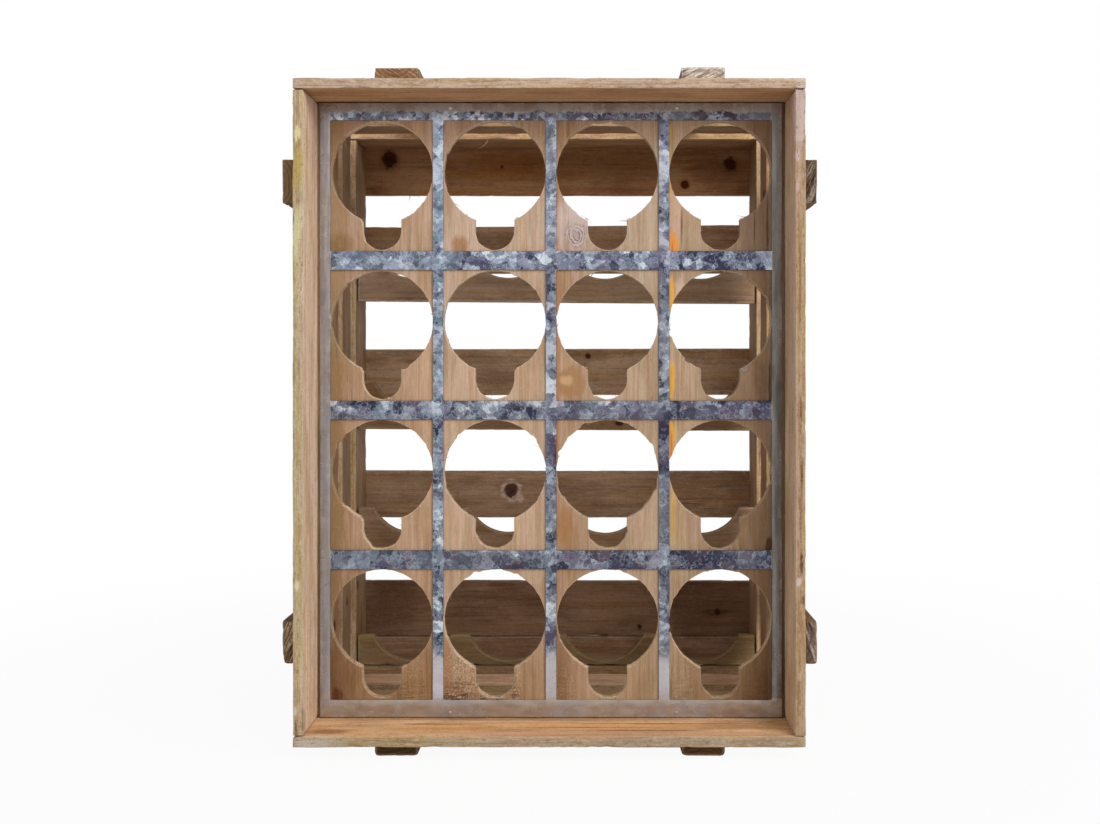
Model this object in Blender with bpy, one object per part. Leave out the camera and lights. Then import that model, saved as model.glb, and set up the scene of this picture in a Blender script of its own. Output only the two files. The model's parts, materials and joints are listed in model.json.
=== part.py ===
"""Wooden crate wine rack for sixteen bottles, four columns by four rows.

Metres, +Z up. X runs across the rack and Y from the open front (-Y) to the back. The origin is the
middle of the footprint, on the surface that the two lower battens stand on.
"""
import math

import bmesh
import bpy
from mathutils import Matrix, Vector

# Clearances between pieces
SEAT_GAP = 0.0003            # between two pieces that touch
NAIL_CLEARANCE = 0.0003      # all round a nail in its hole, and past its tip
GRID_SIDE_GAP = 0.0024       # from the steel grid to the side boards
GRID_END_GAP = 0.0008        # from the steel grid to the top and bottom boards

# The bottle, and the hole, notch and cradle that hold it
COLUMNS = 4
ROWS = 4
BOTTLE_DIAMETER = 0.0800
HOLE_CLEARANCE = 0.0090      # on the diameter
CRADLE_CLEARANCE = 0.0030    # on the radius
CRADLE_DEPTH = 0.0269
NOTCH_WIDTH = 0.0340
NOTCH_DROP = 0.0510          # from the hole's centre down to the centre of the notch's round end

# The steel grid, whose windows frame the holes
WINDOW_SIDE_MARGIN = 0.00055
WINDOW_TOP_MARGIN = 0.0010
WINDOW_BOTTOM_MARGIN = 0.0015
UPRIGHT_WIDTH = 0.0093
CROSSBAR_HEIGHT = 0.0166
SIDE_BORDER_WIDTH = 0.0090
END_BORDER_HEIGHT = 0.0153
SHEET_THICKNESS = 0.0015
PIN_FROM_UPRIGHT = 0.0110    # from the middle of the nearest upright
PIN_FROM_EDGE = 0.0045       # from the sheet's top or bottom edge

# The crate's boards, in four rings with open gaps between them
BOARD_THICKNESS = 0.0095
PLANK_THICKNESS = 0.0100
FRONT_RECESS = 0.0538        # from the front edge back to the steel grid
FRONT_RING_LIP = 0.0144      # of the front ring, behind the keyhole planks
SECOND_RING_WIDTH = 0.0500
THIRD_RING_WIDTH = 0.0420
REAR_RING_WIDTH = 0.0590
FIRST_SLOT = 0.0210
SECOND_SLOT = 0.0195
THIRD_SLOT = 0.0285

# Cradle rails at the back
RAIL_THICKNESS = 0.0100
RAIL_SETBACK = 0.0033        # from the rear ring's front edge
LOWEST_RAIL_WEB = 0.0045     # wood left under an arc of the lowest rail
RAIL_WEB = 0.0243            # the same in the other rails

# Slats across the back
SLAT_THICKNESS = 0.0095
TOP_SLAT_WIDTH = 0.0587
MIDDLE_SLAT_WIDTH = 0.0491
LOWER_SLAT_WIDTH = 0.0606
BOTTOM_SLAT_WIDTH = 0.0273
SLAT_RISE = 0.0342           # from the lowest point of a cradle up to the middle of its slat

# Battens outside, two on each side of the crate
BATTEN_WIDTH = 0.0380
BATTEN_THICKNESS = 0.0120
BATTEN_INSET = 0.0850        # from the crate's corner to the batten's middle
BATTEN_FRONT_SETBACK = 0.0150
BATTEN_REAR_SETBACK = 0.0150
BATTEN_BEVEL = 0.0012

# Nails, and the smaller pins of the steel grid
NAIL_RADIUS = 0.0011
NAIL_HEAD_RADIUS = 0.0022
NAIL_HEAD_THICKNESS = 0.0009
NAIL_SINK = 0.0003           # from the face down to the top of a nail's head
NAIL_POINT = 0.0020          # length of the tapered tip
PIN_RADIUS = 0.0006
PIN_HEAD_RADIUS = 0.0015
PIN_HEAD_THICKNESS = 0.0006
PIN_LENGTH = 0.0090
PLANK_NAIL_LENGTH = 0.0200
RAIL_NAIL_LENGTH = 0.0250
RAIL_NAIL_RISE = 0.0100      # from the rail's lower edge

# Roundness
HOLE_SIDES = 48
NOTCH_SIDES = 28
CRADLE_SIDES = 72
NAIL_SIDES = 10
CUT_THROUGH = 0.0020         # how far a cutter reaches past a face that it leaves

# Holes and windows
HOLE_RADIUS = (BOTTLE_DIAMETER + HOLE_CLEARANCE) / 2
NOTCH_RADIUS = NOTCH_WIDTH / 2
CRADLE_RADIUS = BOTTLE_DIAMETER / 2 + CRADLE_CLEARANCE
WINDOW_WIDTH = 2 * (HOLE_RADIUS + WINDOW_SIDE_MARGIN)
WINDOW_HEIGHT = WINDOW_TOP_MARGIN + HOLE_RADIUS + NOTCH_DROP + NOTCH_RADIUS + WINDOW_BOTTOM_MARGIN
COLUMN_PITCH = WINDOW_WIDTH + UPRIGHT_WIDTH
ROW_PITCH = WINDOW_HEIGHT + CROSSBAR_HEIGHT
GRID_WIDTH = COLUMNS * COLUMN_PITCH - UPRIGHT_WIDTH + 2 * SIDE_BORDER_WIDTH
GRID_HEIGHT = ROWS * ROW_PITCH - CROSSBAR_HEIGHT + 2 * END_BORDER_HEIGHT

# The crate round the grid
INNER_WIDTH = GRID_WIDTH + 2 * GRID_SIDE_GAP
INNER_HEIGHT = GRID_HEIGHT + 2 * GRID_END_GAP
OUTER_WIDTH = INNER_WIDTH + 2 * BOARD_THICKNESS
OUTER_HEIGHT = INNER_HEIGHT + 2 * BOARD_THICKNESS
FRONT_RING_WIDTH = FRONT_RECESS + SHEET_THICKNESS + SEAT_GAP + PLANK_THICKNESS + FRONT_RING_LIP
RINGS = (
    ("front", FRONT_RING_WIDTH, FIRST_SLOT),
    ("second", SECOND_RING_WIDTH, SECOND_SLOT),
    ("third", THIRD_RING_WIDTH, THIRD_SLOT),
    ("rear", REAR_RING_WIDTH, SEAT_GAP),
)
DEPTH = sum(width + slot for name, width, slot in RINGS) + SLAT_THICKNESS

# Levels and planes
FRONT = -DEPTH / 2
BACK = DEPTH / 2
SLAT_FRONT = BACK - SLAT_THICKNESS
BOTTOM = BATTEN_THICKNESS + SEAT_GAP
FLOOR = BOTTOM + BOARD_THICKNESS
CEILING = FLOOR + INNER_HEIGHT
TOP = BOTTOM + OUTER_HEIGHT
SIDE_MIDDLE = (INNER_WIDTH + BOARD_THICKNESS) / 2
GRID_FRONT = FRONT + FRONT_RECESS
PLANK_FRONT = GRID_FRONT + SHEET_THICKNESS + SEAT_GAP
RAIL_FRONT = SLAT_FRONT - SEAT_GAP - REAR_RING_WIDTH + RAIL_SETBACK
COLUMN_X = [(column - (COLUMNS - 1) / 2) * COLUMN_PITCH for column in range(COLUMNS)]
LOWEST_HOLE = (FLOOR + GRID_END_GAP + END_BORDER_HEIGHT + WINDOW_BOTTOM_MARGIN
               + NOTCH_RADIUS + NOTCH_DROP)
HOLE_Z = [LOWEST_HOLE + row * ROW_PITCH for row in reversed(range(ROWS))]
CRADLE_Z = [FLOOR + SEAT_GAP + LOWEST_RAIL_WEB + row * ROW_PITCH for row in reversed(range(ROWS))]

# The holes that each piece needs for nails: where each begins, its direction and its profile
nail_holes = {}


def clear_scene():
    """Remove every object that is already there."""
    for old in list(bpy.data.objects):
        bpy.data.objects.remove(old, do_unlink=True)


def material(name, colour, roughness, metallic=0.0):
    """A plain surface of one colour."""
    made = bpy.data.materials.new(name)
    made.use_nodes = True
    shader = made.node_tree.nodes["Principled BSDF"]
    shader.inputs["Base Color"].default_value = (*colour, 1.0)
    shader.inputs["Roughness"].default_value = roughness
    shader.inputs["Metallic"].default_value = metallic
    made.diffuse_color = (*colour, 1.0)
    return made


def add_box(bm, size, centre=(0.0, 0.0, 0.0)):
    """A box of the given size in bm, round the given centre."""
    place = Matrix.Translation(centre) @ Matrix.Diagonal((*size, 1.0))
    bmesh.ops.create_cube(bm, size=1.0, matrix=place)


def add_turned(bm, start, direction, profile, sides):
    """A turned solid in bm. Its profile lists the distance from start and the radius there."""
    turn = Vector(direction).to_track_quat("Z", "Y").to_matrix()
    rings = []
    for distance, radius in profile:
        corners = [Vector((radius * math.cos(angle), radius * math.sin(angle), distance))
                   for angle in (2 * math.pi * side / sides for side in range(sides))]
        rings.append([bm.verts.new(Vector(start) + turn @ corner) for corner in corners])
    for lower, upper in zip(rings, rings[1:]):
        for side in range(sides):
            bm.faces.new((lower[side - 1], lower[side], upper[side], upper[side - 1]))
    bm.faces.new(reversed(rings[0]))
    bm.faces.new(rings[-1])


def add_object(name, bm, parent, look=None, location=(0.0, 0.0, 0.0)):
    """An object named name from bm, standing at location."""
    mesh = bpy.data.meshes.new(name)
    bmesh.ops.recalc_face_normals(bm, faces=bm.faces)
    bm.to_mesh(mesh)
    bm.free()
    made = bpy.data.objects.new(name, mesh)
    made.location = location
    made.parent = parent
    bpy.context.collection.objects.link(made)
    if look:
        mesh.materials.append(look)
    return made


def add_board(name, size, centre, parent, look):
    """A plain rectangular board of the given size, its origin in its middle."""
    bm = bmesh.new()
    add_box(bm, size)
    return add_object(name, bm, parent, look, centre)


def cut(piece, bm, label):
    """Cut the closed shapes in bm, given in world coordinates, out of a piece."""
    cutter = add_object(f"{piece.name}_{label}", bm, piece.parent)
    cutter.hide_render = True
    cutter.display_type = "WIRE"
    boolean = piece.modifiers.new(label, "BOOLEAN")
    boolean.operation = "DIFFERENCE"
    boolean.solver = "EXACT"
    boolean.object = cutter


def drive_nail(name, face, direction, length, pieces, parent, look):
    """A nail driven in at a point on a face, its head just below it, through the pieces named."""
    head = Vector(face) + NAIL_SINK * Vector(direction)
    add_nail(name, head, direction, parent, look, (
        (0.0, NAIL_HEAD_RADIUS),
        (NAIL_HEAD_THICKNESS, NAIL_HEAD_RADIUS),
        (NAIL_HEAD_THICKNESS, NAIL_RADIUS),
        (length - NAIL_POINT, NAIL_RADIUS),
        (length, NAIL_RADIUS / 4),
    ))
    mouth = -NAIL_SINK - CUT_THROUGH
    shoulder = NAIL_HEAD_THICKNESS + NAIL_CLEARANCE
    hole = (
        (mouth, NAIL_HEAD_RADIUS + NAIL_CLEARANCE),
        (shoulder, NAIL_HEAD_RADIUS + NAIL_CLEARANCE),
        (shoulder, NAIL_RADIUS + NAIL_CLEARANCE),
        (length + NAIL_CLEARANCE, NAIL_RADIUS + NAIL_CLEARANCE),
    )
    for piece in pieces:
        nail_holes.setdefault(piece, []).append((head, direction, hole))


def drive_pin(name, face, direction, length, pieces, parent, look):
    """A pin driven in at a point on a face, its head proud of it, through the pieces named."""
    head = Vector(face) - (SEAT_GAP + PIN_HEAD_THICKNESS) * Vector(direction)
    add_nail(name, head, direction, parent, look, (
        (0.0, PIN_HEAD_RADIUS),
        (PIN_HEAD_THICKNESS, PIN_HEAD_RADIUS),
        (PIN_HEAD_THICKNESS, PIN_RADIUS),
        (length, PIN_RADIUS),
    ))
    hole = (
        (-CUT_THROUGH, PIN_RADIUS + NAIL_CLEARANCE),
        (length + NAIL_CLEARANCE, PIN_RADIUS + NAIL_CLEARANCE),
    )
    for piece in pieces:
        nail_holes.setdefault(piece, []).append((head, direction, hole))


def add_nail(name, head, direction, parent, look, profile):
    """A nail's own solid, turned from its profile, with its origin at its head."""
    bm = bmesh.new()
    add_turned(bm, (0.0, 0.0, 0.0), direction, profile, NAIL_SIDES)
    nail = add_object(name, bm, parent, look, head)
    nail.data.shade_smooth()
    nail.data.set_sharp_from_angle(angle=math.radians(50))


def make_rings(parent, look):
    """Four rings of boards: the top and bottom boards run across the ends of the side boards."""
    made = []
    start = FRONT
    for ring, width, slot in RINGS:
        middle = start + width / 2
        flat = (OUTER_WIDTH, width, BOARD_THICKNESS)
        upright = (BOARD_THICKNESS, width, INNER_HEIGHT - 2 * SEAT_GAP)
        top = (0.0, middle, TOP - BOARD_THICKNESS / 2)
        bottom = (0.0, middle, BOTTOM + BOARD_THICKNESS / 2)
        made.append(add_board(f"{ring}_ring_top", flat, top, parent, look))
        made.append(add_board(f"{ring}_ring_bottom", flat, bottom, parent, look))
        for side, sign in (("left", -1), ("right", 1)):
            place = (sign * SIDE_MIDDLE, middle, (FLOOR + CEILING) / 2)
            made.append(add_board(f"{ring}_ring_{side}", upright, place, parent, look))
        start += width + slot
    return made


def make_battens(parent, look):
    """Eight battens that run front to back and tie the rings together from outside."""
    length = DEPTH - BATTEN_FRONT_SETBACK - BATTEN_REAR_SETBACK
    middle_y = (BATTEN_FRONT_SETBACK - BATTEN_REAR_SETBACK) / 2
    across = OUTER_WIDTH / 2 - BATTEN_INSET
    out = OUTER_WIDTH / 2 + SEAT_GAP + BATTEN_THICKNESS / 2
    high = TOP + SEAT_GAP + BATTEN_THICKNESS / 2
    low = BATTEN_THICKNESS / 2
    upper = TOP - BATTEN_INSET
    lower = BOTTOM + BATTEN_INSET
    flat = (BATTEN_WIDTH, length, BATTEN_THICKNESS)
    upright = (BATTEN_THICKNESS, length, BATTEN_WIDTH)
    battens = (
        ("batten_top_left", flat, (-across, middle_y, high)),
        ("batten_top_right", flat, (across, middle_y, high)),
        ("batten_bottom_left", flat, (-across, middle_y, low)),
        ("batten_bottom_right", flat, (across, middle_y, low)),
        ("batten_left_upper", upright, (-out, middle_y, upper)),
        ("batten_left_lower", upright, (-out, middle_y, lower)),
        ("batten_right_upper", upright, (out, middle_y, upper)),
        ("batten_right_lower", upright, (out, middle_y, lower)),
    )
    made = []
    for name, size, centre in battens:
        batten = add_board(name, size, centre, parent, look)
        bevel = batten.modifiers.new("worn_edges", "BEVEL")
        bevel.width = BATTEN_BEVEL
        bevel.segments = 1
        made.append(batten)
    return made


def make_steel_grid(parent, look, pin_look):
    """One sheet with a window in front of each hole, pinned to the planks at top and bottom."""
    sheet_middle = (FLOOR + CEILING) / 2
    grid = add_board("steel_grid", (GRID_WIDTH, SHEET_THICKNESS, GRID_HEIGHT),
                     (0.0, GRID_FRONT + SHEET_THICKNESS / 2, sheet_middle), parent, look)
    windows = bmesh.new()
    size = (WINDOW_WIDTH, SHEET_THICKNESS + 2 * CUT_THROUGH, WINDOW_HEIGHT)
    for hole_z in HOLE_Z:
        middle = hole_z + HOLE_RADIUS + WINDOW_TOP_MARGIN - WINDOW_HEIGHT / 2
        for x in COLUMN_X:
            add_box(windows, size, (x, GRID_FRONT + SHEET_THICKNESS / 2, middle))
    cut(grid, windows, "windows")

    # The pins stand beside the outermost uprights, in the second and the last plank
    edge = GRID_HEIGHT / 2 - PIN_FROM_EDGE
    outermost = (COLUMNS / 2 - 1) * COLUMN_PITCH
    pins = [(x, z, plank)
            for x, plank in ((-outermost + PIN_FROM_UPRIGHT, 2), (outermost + PIN_FROM_UPRIGHT, COLUMNS))
            for z in (sheet_middle + edge, sheet_middle - edge)]
    for number, (x, z, plank) in enumerate(pins, start=1):
        drive_pin(f"grid_pin_{number}", (x, GRID_FRONT, z), (0, 1, 0), PIN_LENGTH,
                  ("steel_grid", f"keyhole_plank_{plank}"), parent, pin_look)
    return [grid]


def make_keyhole_planks(parent, look, nail_look):
    """Four upright planks, edge to edge behind the grid's uprights, with a keyhole for each bottle."""
    made = []
    height = INNER_HEIGHT - 2 * SEAT_GAP
    wall = INNER_WIDTH / 2 - SEAT_GAP
    joints = [x + COLUMN_PITCH / 2 for x in COLUMN_X[:-1]]
    lefts = [-wall] + [joint + SEAT_GAP / 2 for joint in joints]
    rights = [joint - SEAT_GAP / 2 for joint in joints] + [wall]
    for number, (left, right, hole_x) in enumerate(zip(lefts, rights, COLUMN_X), start=1):
        name = f"keyhole_plank_{number}"
        place = ((left + right) / 2, PLANK_FRONT + PLANK_THICKNESS / 2, (FLOOR + CEILING) / 2)
        plank = add_board(name, (right - left, PLANK_THICKNESS, height), place, parent, look)
        near = PLANK_FRONT - CUT_THROUGH
        far = PLANK_FRONT + PLANK_THICKNESS + CUT_THROUGH
        holes = bmesh.new()
        notches = bmesh.new()
        for hole_z in HOLE_Z:
            add_turned(holes, (hole_x, near, hole_z), (0, 1, 0),
                       ((0.0, HOLE_RADIUS), (far - near, HOLE_RADIUS)), HOLE_SIDES)
            add_notch(notches, hole_x, hole_z, near, far)
        cut(plank, holes, "holes")
        cut(plank, notches, "notches")
        made.append(plank)
        drive_nail(f"plank_nail_top_{number}", (hole_x, place[1], TOP), (0, 0, -1),
                   PLANK_NAIL_LENGTH, ("front_ring_top", name), parent, nail_look)
        drive_nail(f"plank_nail_bottom_{number}", (hole_x, place[1], BOTTOM), (0, 0, 1),
                   PLANK_NAIL_LENGTH, ("front_ring_bottom", name), parent, nail_look)
    return made


def add_notch(bm, hole_x, hole_z, near, far):
    """The straight-sided notch under a hole, for the bottle's neck, with its round lower end."""
    turns = [math.pi + math.pi * step / (NOTCH_SIDES // 2) for step in range(NOTCH_SIDES // 2 + 1)]
    outline = [(NOTCH_RADIUS, 0.0), (-NOTCH_RADIUS, 0.0)]
    outline += [(NOTCH_RADIUS * math.cos(turn), NOTCH_RADIUS * math.sin(turn) - NOTCH_DROP)
                for turn in turns]
    corners = [bm.verts.new((hole_x + x, near, hole_z + z)) for x, z in outline]
    face = bm.faces.new(corners)
    pushed = bmesh.ops.extrude_face_region(bm, geom=[face])["geom"]
    moved = [item for item in pushed if isinstance(item, bmesh.types.BMVert)]
    bmesh.ops.translate(bm, verts=moved, vec=(0.0, far - near, 0.0))


def make_cradle_rails(parent, look, nail_look):
    """Four rails across the back, each with a round seat for the body of every bottle in its row."""
    made = []
    length = INNER_WIDTH - 2 * SEAT_GAP
    middle_y = RAIL_FRONT + RAIL_THICKNESS / 2
    for number, seat in enumerate(CRADLE_Z, start=1):
        name = f"cradle_rail_{number}"
        web = LOWEST_RAIL_WEB if number == ROWS else RAIL_WEB
        height = web + CRADLE_DEPTH
        low = seat - web
        rail = add_board(name, (length, RAIL_THICKNESS, height), (0.0, middle_y, low + height / 2),
                         parent, look)
        near = RAIL_FRONT - CUT_THROUGH
        far = RAIL_FRONT + RAIL_THICKNESS + CUT_THROUGH
        seats = bmesh.new()
        for x in COLUMN_X:
            add_turned(seats, (x, near, seat + CRADLE_RADIUS), (0, 1, 0),
                       ((0.0, CRADLE_RADIUS), (far - near, CRADLE_RADIUS)), CRADLE_SIDES)
        cut(rail, seats, "seats")
        made.append(rail)
        for side, sign in (("left", -1), ("right", 1)):
            drive_nail(f"rail_nail_{side}_{number}",
                       (sign * OUTER_WIDTH / 2, middle_y, low + RAIL_NAIL_RISE), (-sign, 0, 0),
                       RAIL_NAIL_LENGTH, (name, f"rear_ring_{side}"), parent, nail_look)
    return made


def make_back_slats(parent, look):
    """Six slats across the back: one behind the bottles of each row, and one at each end."""
    top_slat = TOP - TOP_SLAT_WIDTH / 2
    bottom_slat = BOTTOM + BOTTOM_SLAT_WIDTH / 2
    lower_slat = BOTTOM + BOTTOM_SLAT_WIDTH + SEAT_GAP + LOWER_SLAT_WIDTH / 2
    slats = [(top_slat, TOP_SLAT_WIDTH)]
    slats += [(seat + SLAT_RISE, MIDDLE_SLAT_WIDTH) for seat in CRADLE_Z[:-1]]
    slats += [(lower_slat, LOWER_SLAT_WIDTH), (bottom_slat, BOTTOM_SLAT_WIDTH)]
    return [add_board(f"back_slat_{number}", (OUTER_WIDTH, SLAT_THICKNESS, width),
                      (0.0, SLAT_FRONT + SLAT_THICKNESS / 2, middle), parent, look)
            for number, (middle, width) in enumerate(slats, start=1)]


def drill(pieces):
    """Cut the nail holes, all of one piece at once."""
    for piece in pieces:
        if piece.name in nail_holes:
            bm = bmesh.new()
            for head, direction, hole in nail_holes[piece.name]:
                add_turned(bm, head, direction, hole, NAIL_SIDES)
            cut(piece, bm, "nail_holes")


def build():
    """Make the whole rack under one empty."""
    clear_scene()
    rack = bpy.data.objects.new("wine_rack", None)
    bpy.context.collection.objects.link(rack)
    crate_wood = material("crate_wood", (0.56, 0.38, 0.23), 0.75)
    batten_wood = material("batten_wood", (0.58, 0.44, 0.29), 0.80)
    plank_wood = material("plank_wood", (0.72, 0.53, 0.36), 0.70)
    rail_wood = material("rail_wood", (0.50, 0.36, 0.23), 0.75)
    slat_wood = material("slat_wood", (0.34, 0.22, 0.13), 0.80)
    zinc = material("galvanised_steel", (0.56, 0.59, 0.64), 0.45, 1.0)
    nail_steel = material("nail_steel", (0.30, 0.30, 0.30), 0.50, 1.0)
    pieces = make_rings(rack, crate_wood)
    pieces += make_battens(rack, batten_wood)
    pieces += make_steel_grid(rack, zinc, nail_steel)
    pieces += make_keyhole_planks(rack, plank_wood, nail_steel)
    pieces += make_cradle_rails(rack, rail_wood, nail_steel)
    pieces += make_back_slats(rack, slat_wood)
    drill(pieces)


build()
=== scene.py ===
"""The looks of a crate wine rack: worn fir boards, keyhole planks and a galvanised sheet.

Metres, +Z up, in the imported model's own frame. X runs across the rack and Y from its open front to
the back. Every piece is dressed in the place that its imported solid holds.
"""
import json
import zlib

import bmesh
import bpy
import numpy as np
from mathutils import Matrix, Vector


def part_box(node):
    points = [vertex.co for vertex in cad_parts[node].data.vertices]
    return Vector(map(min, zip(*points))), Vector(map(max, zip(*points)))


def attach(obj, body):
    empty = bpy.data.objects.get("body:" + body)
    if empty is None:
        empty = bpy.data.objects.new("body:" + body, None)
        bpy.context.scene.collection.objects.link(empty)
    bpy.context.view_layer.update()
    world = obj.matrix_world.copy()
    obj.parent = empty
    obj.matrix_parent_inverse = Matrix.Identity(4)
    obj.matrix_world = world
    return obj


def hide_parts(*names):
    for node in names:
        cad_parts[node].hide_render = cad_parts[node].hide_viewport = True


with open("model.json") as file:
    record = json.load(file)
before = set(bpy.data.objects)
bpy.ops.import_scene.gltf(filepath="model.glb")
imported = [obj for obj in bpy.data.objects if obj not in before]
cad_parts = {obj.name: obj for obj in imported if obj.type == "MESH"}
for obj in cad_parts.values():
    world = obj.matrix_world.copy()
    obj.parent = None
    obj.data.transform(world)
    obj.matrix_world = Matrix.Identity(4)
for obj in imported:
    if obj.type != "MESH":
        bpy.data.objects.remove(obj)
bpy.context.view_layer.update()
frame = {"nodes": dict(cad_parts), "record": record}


# Crate boards
# Sixteen sawn fir boards in four rings, the side boards nailed between the top and bottom ones.
# Their faces are warm and brown, their narrow edges bleached, greyed and chipped.

RINGS = ("front", "second", "third", "rear")
BOARD_EDGE_RADIUS = 0.0008
NARROW_STEPS = 6
CORNER_STEPS = 3


def lattice_noise(points, cell, seed):
    """Smooth noise from -1 to 1: random values on a cubic lattice of the given cell size,
    blended between the eight corners round each point by the smooth step 3t^2 - 2t^3."""
    place = points / cell
    corner = np.floor(place).astype(np.int64)
    inside = place - corner
    inside = inside * inside * (3.0 - 2.0 * inside)
    total = np.zeros(len(points))
    for step in np.ndindex(2, 2, 2):
        at = corner + np.array(step)
        mixed = at[:, 0] * 374761393 + at[:, 1] * 668265263 + at[:, 2] * 2246822519 + seed * 3266489917
        mixed = (mixed ^ (mixed >> 13)) * 1274126177 & 0xFFFFFFFF
        value = (mixed ^ (mixed >> 16)) / 0x7FFFFFFF - 1.0
        total += value * np.prod(np.where(step, inside, 1.0 - inside), axis=1)
    return total


def corners(node):
    """The lowest and the highest corner of a node's box."""
    low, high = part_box(node)
    return np.array(low, dtype=float), np.array(high, dtype=float)


def grid_faces(rows, columns, keep=None):
    """The four-sided faces of a grid of points whose rows close on themselves. keep tells, for
    each pair of rows and each column, whether its face is there."""
    index = np.arange(rows * columns).reshape(rows, columns)
    index = np.column_stack([index, index[:, :1]])
    faces = np.stack([index[:-1, :-1], index[:-1, 1:], index[1:, 1:], index[1:, :-1]], axis=-1)
    return faces.reshape(-1, 4) if keep is None else faces[keep]


def close_piece(name, points, faces, marks, look):
    """An object from points and faces, with its seams merged and its faces turned outwards.
    The marks are three numbers at each point, which the material reads by name."""
    used, faces = np.unique(faces, return_inverse=True)
    faces = faces.reshape(-1, 4)
    mesh = bpy.data.meshes.new(name)
    mesh.vertices.add(len(used))
    mesh.vertices.foreach_set("co", points[used].ravel())
    mesh.loops.add(faces.size)
    mesh.loops.foreach_set("vertex_index", faces.ravel())
    mesh.polygons.add(len(faces))
    mesh.polygons.foreach_set("loop_start", np.arange(0, faces.size, 4))
    mesh.update(calc_edges=True)
    for mark, values in marks.items():
        mesh.attributes.new(mark, "FLOAT_VECTOR", "POINT").data.foreach_set("vector", values[used].ravel())
    bm = bmesh.new()
    bm.from_mesh(mesh)
    bmesh.ops.remove_doubles(bm, verts=bm.verts, dist=1e-6)
    bmesh.ops.recalc_face_normals(bm, faces=bm.faces)
    bm.to_mesh(mesh)
    bm.free()
    mesh.shade_smooth()
    mesh.set_sharp_from_angle(angle=np.radians(40))
    mesh.materials.append(look)
    piece = bpy.data.objects.new(name, mesh)
    bpy.context.collection.objects.link(piece)
    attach(piece, "root")
    return piece


def crowded(count):
    """Places from -1 to 1 that crowd towards both ends: minus the cosine of even steps."""
    return -np.cos(np.linspace(0.0, np.pi, count + 1))


def board_outline(wide_steps):
    """A rounded rectangle on its way round, as two arrays. Point = place * half size + turn *
    corner radius, where place runs along the sides and turn is the outward direction."""
    places = []
    turns = []
    for side in range(4):
        forward = np.array([(1, 0), (0, 1), (-1, 0), (0, -1)][side])
        outward = np.array([(0, -1), (1, 0), (0, 1), (-1, 0)][side])
        along = crowded(wide_steps if side % 2 == 0 else NARROW_STEPS)[:, None]
        places.append(along * forward + outward)
        turns.append(np.repeat(outward[None, :], len(along), axis=0))
        bend = (np.arange(1, CORNER_STEPS) / CORNER_STEPS * np.pi / 2)[:, None]
        places.append(np.repeat((forward + outward)[None, :], len(bend), axis=0))
        turns.append(np.cos(bend) * outward + np.sin(bend) * forward)
    return np.concatenate(places).astype(float), np.concatenate(turns).astype(float)


def nearest_knot(length_place, width_place, knots):
    """At each point, the way to the nearest knot along and across the board, and its radius."""
    if not knots:
        return np.column_stack([np.ones_like(length_place), width_place, np.full_like(width_place, 0.005)])
    there = np.array(knots, dtype=float)
    along = np.abs(length_place[:, None] - there[None, :, 0])
    across = width_place[:, None] - there[None, :, 1]
    chosen = np.argmin(np.hypot(along, across), axis=1)
    rows = np.arange(len(chosen))
    return np.column_stack([along[rows, chosen], across[rows, chosen], there[chosen, 2]])


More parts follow.
